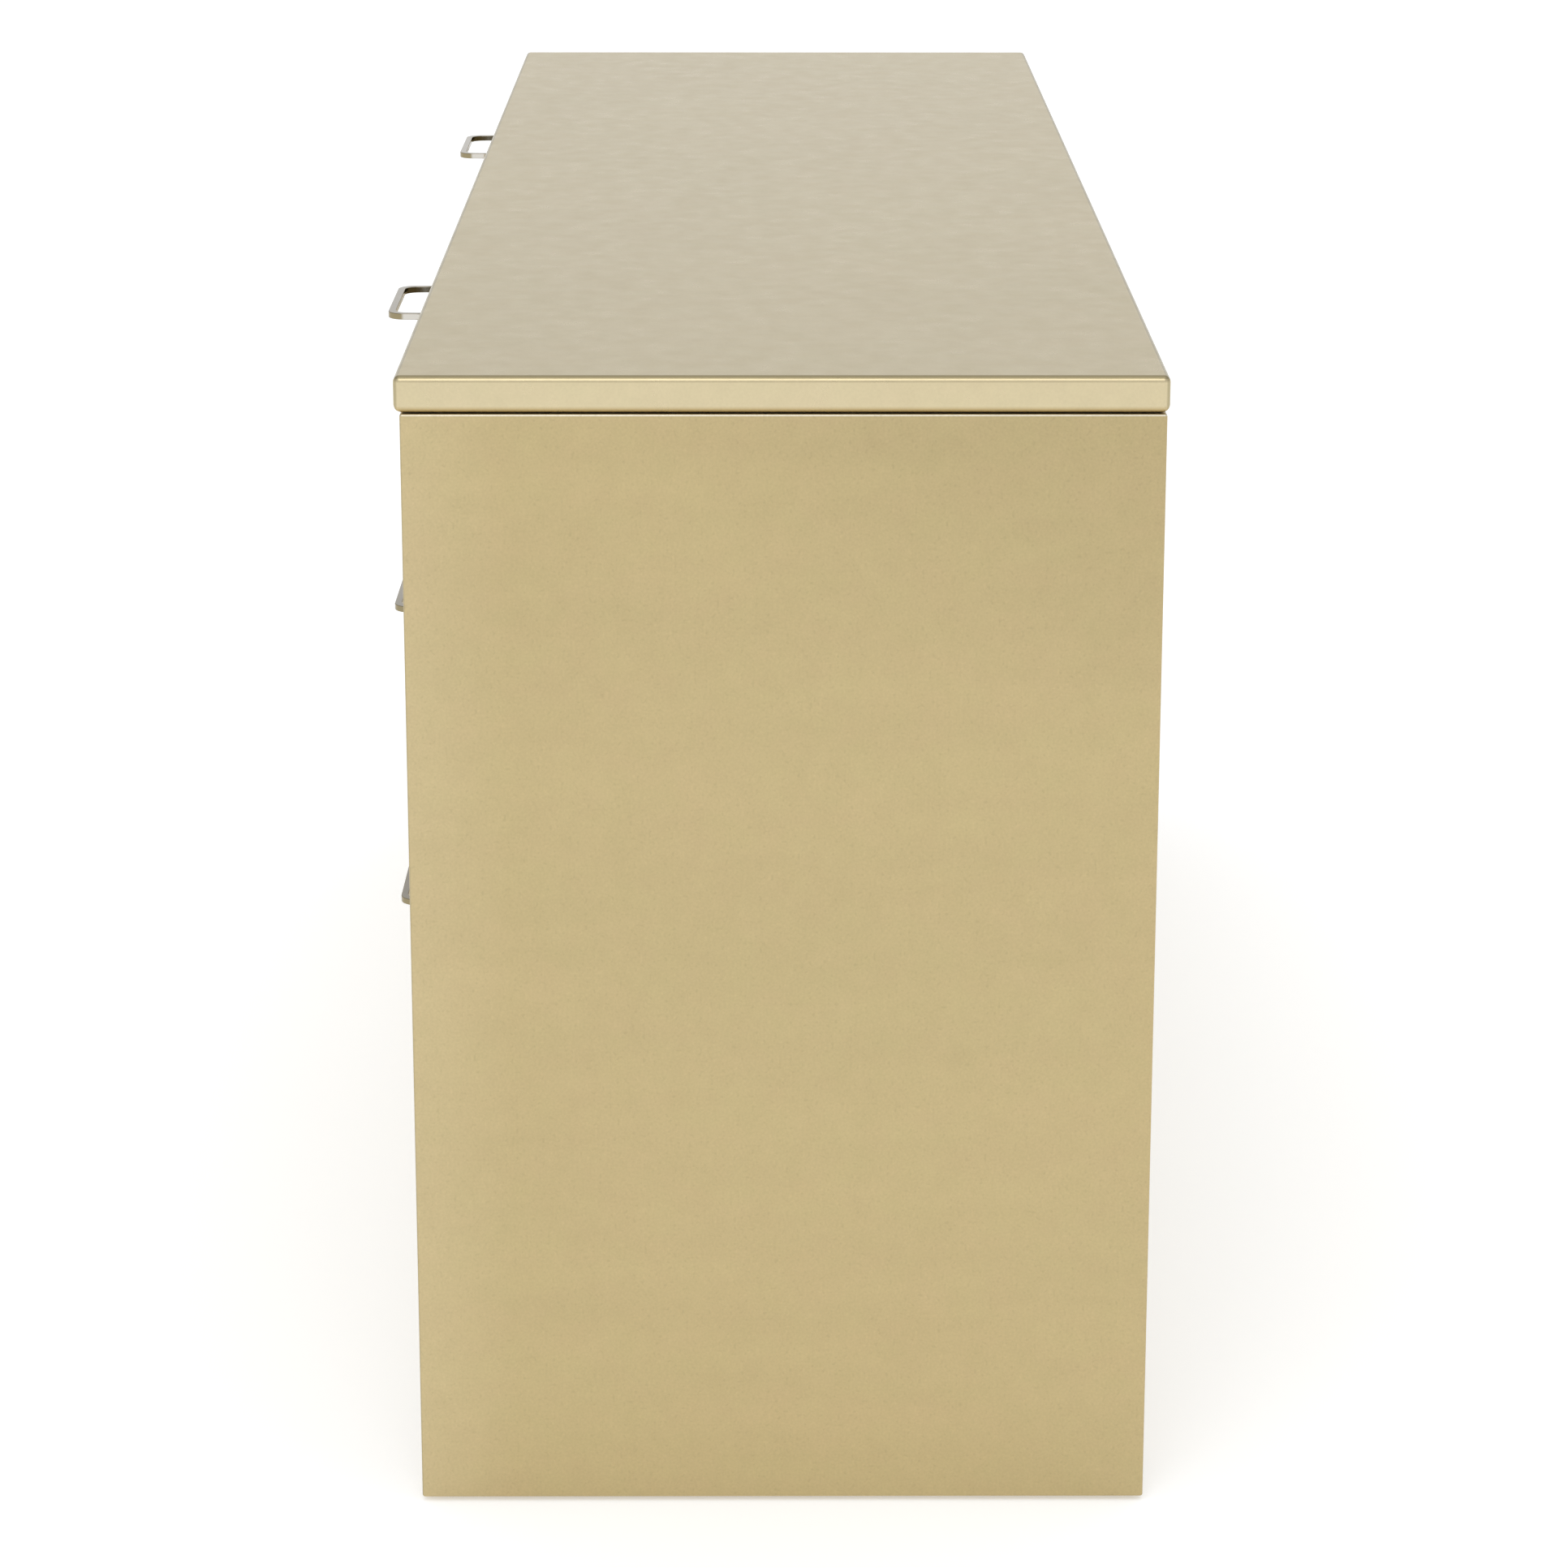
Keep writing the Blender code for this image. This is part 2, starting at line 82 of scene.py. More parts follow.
dome = bpy.data.worlds.new("studio_dome")
bpy.context.scene.world = dome
dome.use_nodes = True
dome_nodes, dome_links = dome.node_tree.nodes, dome.node_tree.links
dome_light = dome_nodes["Background"]
backdrop = dome_nodes.new("ShaderNodeBackground")
backdrop.inputs["Color"].default_value = (1, 1, 1, 1)
sky_way = dome_nodes.new("ShaderNodeTexCoord")
sky_height = dome_nodes.new("ShaderNodeSeparateXYZ")
sky_shade = dome_nodes.new("ShaderNodeValToRGB")
while len(sky_shade.color_ramp.elements) < len(DOME_SHADES):
    sky_shade.color_ramp.elements.new(0.5)
for element, (height, shade) in zip(sky_shade.color_ramp.elements, DOME_SHADES):
    element.position = height
    element.color = (shade, shade, shade, 1)
seen_as = dome_nodes.new("ShaderNodeLightPath")
seen_or_lit = dome_nodes.new("ShaderNodeMixShader")
dome_links.new(sky_way.outputs["Generated"], sky_height.inputs[0])
dome_links.new(sky_height.outputs["Z"], sky_shade.inputs["Fac"])
dome_links.new(sky_shade.outputs["Color"], dome_light.inputs["Color"])
dome_links.new(seen_as.outputs["Is Camera Ray"], seen_or_lit.inputs["Fac"])
dome_links.new(dome_light.outputs[0], seen_or_lit.inputs[1])
dome_links.new(backdrop.outputs[0], seen_or_lit.inputs[2])
dome_links.new(seen_or_lit.outputs[0], dome_nodes["World Output"].inputs["Surface"])

high_lamp = bpy.data.lights.new("high_lamp", "SUN")
high_lamp.energy = LAMP_POWER
high_lamp.angle = math.radians(LAMP_WIDTH)
high_lamp_stand = bpy.data.objects.new("high_lamp", high_lamp)
high_lamp_stand.rotation_euler = Vector(LAMP_AIM).to_track_quat("-Z", "Y").to_euler()
bpy.context.scene.collection.objects.link(high_lamp_stand)

camera_data = bpy.data.cameras.new("camera")
camera_data.sensor_width = 36.0
camera_data.lens = CAMERA_LENS
camera_data.shift_y = CAMERA_RISE
camera_data.clip_end = 200.0
camera = bpy.data.objects.new("camera", camera_data)
camera.location = CAMERA_PLACE
level = Matrix.Rotation(math.radians(90 + CAMERA_YAW), 4, "Z") @ Matrix.Rotation(math.radians(90), 4, "X")
tilted = level @ Matrix.Rotation(math.radians(-CAMERA_PITCH), 4, "X")
camera.rotation_euler = (tilted @ Matrix.Rotation(math.radians(CAMERA_ROLL), 4, "Z")).to_euler()
bpy.context.scene.collection.objects.link(camera)
bpy.context.scene.camera = camera
bpy.context.scene.view_settings.view_transform = "Standard"


# ---- End walls ----
# Each end is a deep pan folded from 1.2 mm sheet steel, 38 mm thick, with small crisp edges.
# It is stove-enamelled in champagne metallic, whose hue drifts a little between pink and green
# gold as it was sprayed.

SHEET = 0.0012
WALL_BEND = 0.0016
WALL_RISE = 0.0005  # the upper flange's slight crown
CHAMPAGNE_PINK = (0.533, 0.416, 0.219)
CHAMPAGNE_GREEN = (0.521, 0.424, 0.214)
# Painted highlight tint for rounded edges that face up.
EDGE_HIGHLIGHT_TINT = (0.86, 0.80, 0.64)
# Painted highlight tint for the crest of the end walls' upper bend.
CROWN_HIGHLIGHT_TINT = (0.82, 0.78, 0.65)
# Painted sheen tint for a band behind the end walls' front edge.
FRONT_BAND_SHEEN_TINT = (0.70, 0.58, 0.36)
# Painted dark reflection tint for rounded edges.
DARK_REFLECTION_TINT = (0.31, 0.26, 0.14)
UPWARD_HIGHLIGHT_STOPS = [(0.20, 0.0), (0.50, 0.6), (0.85, 0.6), (0.98, 0.0)]  # by how far it faces up
CROWN_HIGHLIGHT_STOPS = [(0.10, 0.0), (0.26, 0.9), (0.90, 0.9), (0.98, 0.0)]
# Where rounded upright edges get a painted dark reflection.
CORNER_DARK_REFLECTION_STOPS = [(0.35, 0.0), (0.60, 0.6), (0.90, 0.6), (0.99, 0.0)]  # by how far it faces sideways
# The band of painted sheen behind the front edge.
BORDER_START = 0.0024  # behind the front edge
BORDER_END = 0.0614
# Height of the painted shade near the floor.
FOOT_SHADE_HEIGHT = 0.055
# Reach of the painted shade at the upper rear corner.
SHADED_CORNER_REACH = (0.011, 0.046)  # from the front and the back edge
SHADED_CORNER_DROP = (0.284, 0.004)  # below the upper edge


def nodes_of(material):
    material.use_nodes = True
    return material.node_tree, material.node_tree.nodes["Principled BSDF"]


def noise(tree, scale, detail=2.0, stretch=(1, 1, 1), seed=0.0):
    """Noise fixed to the piece, its scale in waves to the metre."""
    place = tree.nodes.new("ShaderNodeTexCoord")
    mapping = tree.nodes.new("ShaderNodeMapping")
    mapping.inputs["Scale"].default_value = stretch
    mapping.inputs["Location"].default_value = (seed, seed, seed)
    texture = tree.nodes.new("ShaderNodeTexNoise")
    texture.inputs["Scale"].default_value = scale
    texture.inputs["Detail"].default_value = detail
    tree.links.new(place.outputs["Object"], mapping.inputs["Vector"])
    tree.links.new(mapping.outputs["Vector"], texture.inputs["Vector"])
    return texture.outputs["Fac"]


def spread(tree, value, low, high, start=0.3, end=0.7):
    """The value's range from start to end, spread from low to high."""
    span = tree.nodes.new("ShaderNodeMapRange")
    span.inputs["From Min"].default_value = start
    span.inputs["From Max"].default_value = end
    span.inputs["To Min"].default_value = low
    span.inputs["To Max"].default_value = high
    tree.links.new(value, span.inputs["Value"])
    return span.outputs["Result"]


def times(tree, first, second):
    product = tree.nodes.new("ShaderNodeMath")
    product.operation = "MULTIPLY"
    tree.links.new(first, product.inputs[0])
    tree.links.new(second, product.inputs[1])
    return product.outputs[0]


def between_colours(tree, amount, first, second):
    mix = tree.nodes.new("ShaderNodeMix")
    mix.data_type = "RGBA"
    tree.links.new(amount, mix.inputs[0])
    mix.inputs[6].default_value = (*first, 1)
    mix.inputs[7].default_value = (*second, 1)
    return mix.outputs[2]


def shaded(tree, colour, light):
    """The colour made lighter or darker by a value round 1."""
    scale = tree.nodes.new("ShaderNodeVectorMath")
    scale.operation = "SCALE"
    tree.links.new(colour, scale.inputs[0])
    tree.links.new(light, scale.inputs["Scale"])
    return scale.outputs["Vector"]


def bumps(tree, shader, value, height):
    bump = tree.nodes.new("ShaderNodeBump")
    bump.inputs["Distance"].default_value = height
    tree.links.new(value, bump.inputs["Height"])
    if shader.inputs["Normal"].is_linked:
        tree.links.new(shader.inputs["Normal"].links[0].from_socket, bump.inputs["Normal"])
    tree.links.new(bump.outputs["Normal"], shader.inputs["Normal"])


def along(tree, axis, source="Object"):
    """The X, Y or Z of a point on the piece, or of its surface's facing."""
    if source == "Object":
        place = tree.nodes.new("ShaderNodeTexCoord").outputs["Object"]
    else:
        place = tree.nodes.new("ShaderNodeNewGeometry").outputs["Normal"]
    parts = tree.nodes.new("ShaderNodeSeparateXYZ")
    tree.links.new(place, parts.inputs[0])
    return parts.outputs[axis]


def ramp(tree, value, stops):
    """The value read off a grey ramp of (place, grey) stops."""
    shades = tree.nodes.new("ShaderNodeValToRGB")
    while len(shades.color_ramp.elements) < len(stops):
        shades.color_ramp.elements.new(0.5)
    for element, (place, grey) in zip(shades.color_ramp.elements, stops):
        element.position = place
        element.color = (grey, grey, grey, 1)
    tree.links.new(value, shades.inputs["Fac"])
    return shades.outputs["Color"]


def blended(tree, amount, first, second):
    """A colour shifted towards a plain second colour by an amount."""
    mix = tree.nodes.new("ShaderNodeMix")
    mix.data_type = "RGBA"
    tree.links.new(amount, mix.inputs[0])
    tree.links.new(first, mix.inputs[6])
    mix.inputs[7].default_value = (*second, 1)
    return mix.outputs[2]


def metallic_enamel(
    name,
    pink,
    green,
    metallic,
    roughness,
    grain,
    coat,
    specks=0.06,
    peel=0.00005,
    fine=0.00003,
    crest=EDGE_HIGHLIGHT_TINT,
    crest_stops=UPWARD_HIGHLIGHT_STOPS,
    under=None,
    corners=(),
    wall=None,
):
    """Mingled hues, faint spray bands, blotches, aluminium flake, stray specks and orange peel.

    crest is a painted tone on rounded edges that face up: a painted highlight where it is
    pale, a painted dark reflection where it is dark. under is painted shade on edges that face
    down, and corners lays a painted dark reflection on the rounded upright edges at the front
    (-1) or the back (1). Given the box of a wall, a painted sheen lightens a band along its
    front edge, and painted shade darkens it a little near the floor and at the upper rear
    corner.
    """
    material = bpy.data.materials.new(name)
    tree, shader = nodes_of(material)
    drift = spread(tree, noise(tree, 9.0, stretch=(0.7, 0.7, 1.5), seed=3.0), 0.36, 0.64, 0.36, 0.64)
    cloudy = spread(tree, noise(tree, 42.0, 3.0, stretch=(1, 1, 1.4), seed=11.0), -0.26, 0.26)
    mingled = tree.nodes.new("ShaderNodeMath")
    tree.links.new(drift, mingled.inputs[0])
    tree.links.new(cloudy, mingled.inputs[1])
    hue = between_colours(tree, mingled.outputs[0], pink, green)
    # Painted light on rounded edges that face up: a painted highlight where crest is pale, a painted dark
    # reflection where it is dark.
    facing_up = along(tree, "Z", "Normal")
    hue = blended(tree, ramp(tree, facing_up, crest_stops), hue, crest)
    # Painted dark reflection on rounded upright edges turned to the front or the back.
    for way in corners:
        turned_away = spread(tree, along(tree, "Y", "Normal"), 0.0, 1.0, 0.0, way)
        hue = blended(tree, ramp(tree, turned_away, CORNER_DARK_REFLECTION_STOPS), hue, DARK_REFLECTION_TINT)
    # Painted shade on rounded edges that face down.
    if under:
        hue = blended(tree, spread(tree, facing_up, 0.0, 1.0, -0.08, -0.80), hue, under)
    bands = spread(tree, noise(tree, 17.0, stretch=(0.2, 0.2, 2.2), seed=7.0), 0.985, 1.015)
    blotches = spread(tree, noise(tree, 85.0, 3.0, seed=1.0), 0.985, 1.015)
    flake = spread(tree, noise(tree, 620.0), 1.0 - grain, 1.0 + grain)
    pits = spread(tree, noise(tree, 430.0, 0.0, seed=5.0), 1.0 - specks, 1.0, 0.22, 0.33)
    glints = spread(tree, noise(tree, 380.0, 0.0, seed=9.0), 1.0, 1.0 + specks / 2, 0.68, 0.78)
    light = times(tree, times(tree, bands, blotches), times(tree, flake, times(tree, pits, glints)))
    if wall:
        front, back, upper = wall[0].y, wall[1].y, wall[1].z
        across, height = along(tree, "Y"), along(tree, "Z")
        # Painted sheen: a paler band behind the front edge.
        border = spread(tree, across, 0.24, 0.0, front + BORDER_START, front + BORDER_END)
        hue = blended(tree, border, hue, FRONT_BAND_SHEEN_TINT)
        # Painted shade near the floor.
        light = times(tree, light, spread(tree, height, 0.95, 1.0, 0.0, FOOT_SHADE_HEIGHT))
        # Painted shade at the upper rear corner.
        rearward = spread(tree, across, 0.0, 1.0, front + SHADED_CORNER_REACH[0], back - SHADED_CORNER_REACH[1])
        upward = spread(tree, height, 0.0, 1.0, upper - SHADED_CORNER_DROP[0], upper - SHADED_CORNER_DROP[1])
        light = times(tree, light, spread(tree, times(tree, rearward, upward), 1.0, 0.94))
    tree.links.new(shaded(tree, hue, light), shader.inputs["Base Color"])
    shader.inputs["Metallic"].default_value = metallic
    shine = spread(tree, noise(tree, 60.0, 3.0, seed=4.0), roughness - 0.03, roughness + 0.03)
    tree.links.new(shine, shader.inputs["Roughness"])
    shader.inputs["Coat Weight"].default_value = coat
    shader.inputs["Coat Roughness"].default_value = 0.12
    bumps(tree, shader, noise(tree, 160.0, 1.0, seed=2.0), peel)
    if fine:
        bumps(tree, shader, noise(tree, 1500.0, 1.0), fine)
    return material


def link_piece(name, mesh, material):
    piece = bpy.data.objects.new(name, mesh)
    mesh.materials.append(material)
    bpy.context.scene.collection.objects.link(piece)
    return piece


def fit(piece, body, slot, *nodes):
    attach(piece, body)
    if nodes:
        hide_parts(*nodes)


def skin(low, high, open_sides=(), lip_side=None, lip_width=0.0):
    """A block's skin from corner to corner, with sides left off, or one side left as a lip."""
    ways = {"+X": (1, 0, 0), "+Y": (0, 1, 0), "+Z": (0, 0, 1)}
    ways |= {"-X": (-1, 0, 0), "-Y": (0, -1, 0), "-Z": (0, 0, -1)}
    low, high = Vector(low), Vector(high)
    bm = bmesh.new()
    bmesh.ops.create_cube(bm, size=1.0)
    bmesh.ops.scale(bm, vec=high - low, verts=bm.verts)
    bmesh.ops.translate(bm, vec=(low + high) / 2, verts=bm.verts)
    bm.normal_update()
    facing = {side: [f for f in bm.faces if f.normal.dot(Vector(way)) > 0.9] for side, way in ways.items()}
    if lip_side:
        bmesh.ops.inset_region(bm, faces=facing[lip_side], thickness=lip_width)
        bmesh.ops.delete(bm, geom=facing[lip_side], context="FACES")
    for side in open_sides:
        bmesh.ops.delete(bm, geom=facing[side], context="FACES")
    mesh = bpy.data.meshes.new("folded")
    bm.to_mesh(mesh)
    bm.free()
    return mesh


def rounded_edges(piece, radius, segments):
    bevel = piece.modifiers.new("bends", "BEVEL")
    bevel.width = radius
    bevel.segments = segments
    bevel.limit_method = "ANGLE"
    bevel.angle_limit = math.radians(40)


def smooth_bends(piece):
    piece.data.shade_smooth()
    even = piece.modifiers.new("even_shading", "WEIGHTED_NORMAL")
    even.keep_sharp = True
    even.weight = 100


def folded(name, mesh, material, bend, segments=5, sheet=SHEET):
    """A skin made into sheet metal: its edges bent to a radius, then its thickness inwards."""
    piece = link_piece(name, mesh, material)
    rounded_edges(piece, bend, segments)
    wall = piece.modifiers.new("sheet", "SOLIDIFY")
    wall.thickness = sheet
    wall.offset = -1
    wall.use_even_offset = True
    smooth_bends(piece)
    return piece


# The end walls' enamel carries painted light: a painted highlight on the crest of the upper bend, a painted
# dark reflection down the front upright edges, a painted sheen along the front band, and painted shade near
# the floor and at the upper rear corner.
wall_enamel = metallic_enamel(
    "champagne_enamel_wall",
    CHAMPAGNE_PINK,
    CHAMPAGNE_GREEN,
    metallic=0.85,
    roughness=0.36,
    grain=0.035,
    coat=0.15,
    crest=CROWN_HIGHLIGHT_TINT,
    crest_stops=CROWN_HIGHLIGHT_STOPS,
    corners=(-1,),
    wall=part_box("end_panel_right"),
)
for side, inward in (("left", "+X"), ("right", "-X")):
    low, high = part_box(f"end_panel_{side}")
    high.z += WALL_RISE
    end_wall = folded(f"end_wall_{side}", skin(low, high, [inward]), wall_enamel, WALL_BEND)
    fit(end_wall, "case", "champagne_paint", f"end_panel_{side}")


# ---- End liners ----
# A flat sheet closes the inside of each end pan and carries the slides. It is sprayed with the
# same enamel, thinner and duller, and held by a row of spot welds down each upright edge.

WELD_PITCH = 0.075
WELD_START = 0.7  # of a pitch above the liner's foot
WELD_INSET_FRONT = 0.009
WELD_INSET_BACK = 0.020
FLAT_EDGE = 0.0003
INSIDE_PINK = (0.490, 0.380, 0.205)
INSIDE_GREEN = (0.465, 0.382, 0.200)


def turned(profile, steps=32):
    """A mesh turned about +Z from (radius, height) points, with radius 0 closing an end."""
    mesh = bpy.data.meshes.new("turned")
    bm = bmesh.new()
    rings = []
    for radius, height in profile:
        if radius == 0:
            rings.append([bm.verts.new((0, 0, height))])
            continue
        angles = [2 * math.pi * step / steps for step in range(steps)]
        rings.append([bm.verts.new((radius * math.cos(a), radius * math.sin(a), height)) for a in angles])
    for lower, upper in zip(rings, rings[1:]):
        for step in range(steps):
            corners = [
                lower[step % len(lower)],
                lower[(step + 1) % len(lower)],
                upper[(step + 1) % len(upper)],
                upper[step % len(upper)],
            ]
            bm.faces.new(list(dict.fromkeys(corners)))
    bmesh.ops.recalc_face_normals(bm, faces=bm.faces)
    bm.to_mesh(mesh)
    bm.free()
    return mesh


def facing(place, way):
    """Stands a turned piece at a place, with its +Z axis along way."""
    return Matrix.Translation(place) @ Vector(way).to_track_quat("Z", "Y").to_matrix().to_4x4()


def copies(name, pattern, placings, material, sharp_angle=35):
    """One piece made of copies of a pattern mesh."""
    bm = bmesh.new()
    for placing in placings:
        copy = pattern.copy()
        copy.transform(placing)
        bm.from_mesh(copy)
        bpy.data.meshes.remove(copy)
    mesh = bpy.data.meshes.new(name)
    bm.to_mesh(mesh)
    bm.free()
    piece = link_piece(name, mesh, material)
    mesh.shade_smooth()
    mesh.set_sharp_from_angle(angle=math.radians(sharp_angle))
    return piece


# Its rounded edges that face up carry a painted highlight.
inside_enamel = metallic_enamel(
    "champagne_enamel_inside", INSIDE_PINK, INSIDE_GREEN, metallic=0.70, roughness=0.48, grain=0.07, coat=0.05
)
weld_mark = turned([(0.0030, 0), (0.0027, 0.00012), (0.0022, 0.00004), (0, 0.0)], 20)
for side, way in (("left", 1), ("right", -1)):
    low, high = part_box(f"end_liner_{side}")
    liner = link_piece(f"liner_{side}", skin(low, high), inside_enamel)
    rounded_edges(liner, FLAT_EDGE, 2)
    smooth_bends(liner)
    fit(liner, "case", "inside_paint", f"end_liner_{side}")
    inner_x = high.x if way > 0 else low.x
    weld_count = int((high.z - low.z) / WELD_PITCH)
    marks = [
        facing((inner_x, y, low.z + (row + WELD_START) * WELD_PITCH), (way, 0, 0))
        for y in (low.y + WELD_INSET_FRONT, high.y - WELD_INSET_BACK)
        for row in range(weld_count)
    ]
    welds = copies(f"liner_welds_{side}", weld_mark, marks, inside_enamel)
    fit(welds, "case", "inside_paint")


# ---- Back panel ----
# One sheet between the end walls, with its side edges turned forward. Four upright beads are
# pressed into it to keep it from drumming, and low button-head screws hold it all round.

BACK_BEND = 0.002
BEAD_RADIUS = 0.011
BEAD_DEPTH = 0.0022
BEAD_SHARES = (-0.75, -0.25, 0.25, 0.75)  # of the half width
BEAD_END = 0.07
BACK_SCREW_INSET = 0.012
BACK_SCREW_HEIGHTS = (0.06, 0.24, 0.42, 0.60, 0.685)
BACK_SCREW_SHARES = (-0.5, 0, 0.5)


def pressed_skin(low, high, side, beads, radius, depth):
    """A sheet with its edges turned and beads, each (u0, v0, u1, v1), pressed into it.

    A +Y sheet has its two upright edges turned forward, and v runs along Z. A -Z sheet has all
    four turned up, and v runs along Y. u runs along X.
    """
    low, high = Vector(low), Vector(high)
    bm = bmesh.new()
    v_axis = 1 if side == "-Z" else 2
    steps = [-1, -0.8, -0.6, -0.4, -0.2, 0, 0.2, 0.4, 0.6, 0.8, 1]
    u_lines, v_lines = {low.x, high.x}, {low[v_axis], high[v_axis]}
    for u0, v0, u1, v1 in beads:
        u_lines |= {u + radius * step for u in (u0, u1) for step in steps}
        v_lines |= {v + radius * step for v in (v0, v1) for step in steps}
    u_lines = sorted({round(u, 5) for u in u_lines})
    v_lines = sorted({round(v, 5) for v in v_lines})

    def sunk(u, v):
        nearest = radius
        for u0, v0, u1, v1 in beads:
            nearest = min(nearest, math.hypot(max(u0 - u, 0, u - u1), max(v0 - v, 0, v - v1)))
        part = 1 - nearest / radius
        return depth * part * part * (3 - 2 * part)

    def on_side(u, v):
        if side == "+Y":
            return (u, high.y - sunk(u, v), v)
        return (u, v, low.z + sunk(u, v))

    grid = [[bm.verts.new(on_side(u, v)) for v in v_lines] for u in u_lines]
    for left, right in zip(grid, grid[1:]):
        for step in range(len(v_lines) - 1):
            bm.faces.new([left[step], right[step], right[step + 1], left[step + 1]])
    turned_edges = [
        edge
        for edge in bm.edges
        if edge.is_boundary and (side == "-Z" or abs(edge.verts[0].co.x - edge.verts[1].co.x) < 1e-6)
    ]
    made = bmesh.ops.extrude_edge_only(bm, edges=turned_edges)
    turn = Vector((0, low.y - high.y, 0)) if side == "+Y" else Vector((0, 0, high.z - low.z))
    bmesh.ops.translate(bm, vec=turn, verts=[v for v in made["geom"] if isinstance(v, bmesh.types.BMVert)])
    bmesh.ops.recalc_face_normals(bm, faces=bm.faces)
    bm.normal_update()
    out = Vector((0, 1, 0)) if side == "+Y" else Vector((0, 0, -1))
    flats = [face for face in bm.faces if abs(face.normal.dot(out)) > 0.9]
    if max(flats, key=lambda face: face.calc_area()).normal.dot(out) < 0:
        bmesh.ops.reverse_faces(bm, faces=bm.faces)
    mesh = bpy.data.meshes.new("pressed")
    bm.to_mesh(mesh)
    bm.free()
    return mesh


def button_head(radius, height, socket, steps=24):
    """A button-head screw standing on its flat, with a hexagon socket."""

    def six_sided(angle):
        return socket * math.cos(math.pi / 6) / math.cos((angle % (math.pi / 3)) - math.pi / 6)

    def ring(reaches, up):
        return [bm.verts.new((r * math.cos(a), r * math.sin(a), up)) for r, a in zip(reaches, angles)]

    bm = bmesh.new()
    angles = [2 * math.pi * step / steps for step in range(steps)]
    dome_rings = [(1.0, 0.0), (1.0, 0.25), (0.95, 0.55), (0.82, 0.82), (0.66, 1.0)]
    rings = [ring([radius * part] * steps, height * up) for part, up in dome_rings]
    rings += [ring([six_sided(a) for a in angles], height * up) for up in (1.0, 0.35)]
    for lower, upper in zip(rings, rings[1:]):
        for step in range(steps):
            after = (step + 1) % steps
            bm.faces.new([lower[step], lower[after], upper[after], upper[step]])
    bm.faces.new(rings[-1])
    bm.faces.new(list(reversed(rings[0])))
    mesh = bpy.data.meshes.new("button_head")
    bmesh.ops.recalc_face_normals(bm, faces=bm.faces)
    bm.to_mesh(mesh)
    bm.free()
    return mesh


def plated_metal(name, light, dark, roughness, brushing=(1, 1, 1)):
    """Bright metal with faint rolling marks, cloudy lustre and fine scratches."""
    material = bpy.data.materials.new(name)
    tree, shader = nodes_of(material)
    cloud = spread(tree, noise(tree, 38.0, 4.0, seed=2.0), 0.0, 1.0, 0.35, 0.65)
    colour = between_colours(tree, cloud, light, dark)
    lines = spread(tree, noise(tree, 420.0, 2.0, brushing, 6.0), 0.94, 1.05)
    tree.links.new(shaded(tree, colour, lines), shader.inputs["Base Color"])
    shader.inputs["Metallic"].default_value = 1.0
    shine = spread(tree, noise(tree, 55.0, 4.0, brushing, 8.0), roughness * 0.7, roughness * 1.35)
    tree.links.new(shine, shader.inputs["Roughness"])
    bumps(tree, shader, noise(tree, 600.0, 3.0, brushing, 3.0), 0.00002)
    return material


# Its rounded edges that face up carry a painted highlight.
end_enamel = metallic_enamel(
    "champagne_enamel", CHAMPAGNE_PINK, CHAMPAGNE_GREEN, metallic=0.85, roughness=0.36, grain=0.035, coat=0.15
)
screw_plate = plated_metal("nickel_screws", (0.66, 0.64, 0.58), (0.56, 0.54, 0.50), 0.22)

low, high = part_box("back_panel")
beads = [(share * high.x, low.z + BEAD_END, share * high.x, high.z - BEAD_END) for share in BEAD_SHARES]
back_mesh = pressed_skin(low, high, "+Y", beads, BEAD_RADIUS, BEAD_DEPTH)
back_sheet = folded("back_sheet", back_mesh, end_enamel, BACK_BEND, 4)
fit(back_sheet, "case", "champagne_paint", "back_panel")

back_screw = button_head(0.0045, 0.0014, 0.0016)
side_lines = (low.x + BACK_SCREW_INSET, high.x - BACK_SCREW_INSET)
level_lines = (low.z + BACK_SCREW_INSET, high.z - BACK_SCREW_INSET)
screw_places = [(x, z) for x in side_lines for z in BACK_SCREW_HEIGHTS]
screw_places += [(share * high.x, z) for share in BACK_SCREW_SHARES for z in level_lines]
screw_placings = [facing((x, high.y, z), (0, 1, 0)) for x, z in screw_places]
fit(copies("back_screws", back_screw, screw_placings, screw_plate), "case", "zinc_plate")


# ---- Floor pan, base rail, top rail and upright ----
# The frame between the end walls: a floor pan with its edges turned down, a channel that
# closes the front under it, a channel over the top drawers, and a double-skinned upright
# between the two columns. All are spot-welded.

FRAME_BEND = 0.002

low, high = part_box("bottom_pan")
floor_pan = folded("floor_pan", skin(low, high, ["-Z"]), inside_enamel, FRAME_BEND)
fit(floor_pan, "case", "inside_paint", "bottom_pan")
low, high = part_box("base_rail")
base_channel = folded("base_channel", skin(low, high, ["+Y", "+X", "-X"]), end_enamel, FRAME_BEND)
fit(base_channel, "case", "champagne_paint", "base_rail")
low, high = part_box("top_rail")
top_channel = folded("top_channel", skin(low, high, ["+Y", "+X", "-X"]), inside_enamel, FRAME_BEND)
fit(top_channel, "case", "inside_paint", "top_rail")
low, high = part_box("centre_divider")
upright = folded("upright", skin(low, high, ["+Y"]), inside_enamel, FRAME_BEND)
fit(upright, "case", "inside_paint", "centre_divider")


# ---- Glides ----
# Four black nylon feet moulded on zinc-plated screws, which pass up through the floor pan and
# are locked there by a nut. They level the cabinet and hold it 3 mm off the floor.

THREAD_PITCH = 0.00125
THREAD_TURNS = 19
NUT_GAP = 0.0001


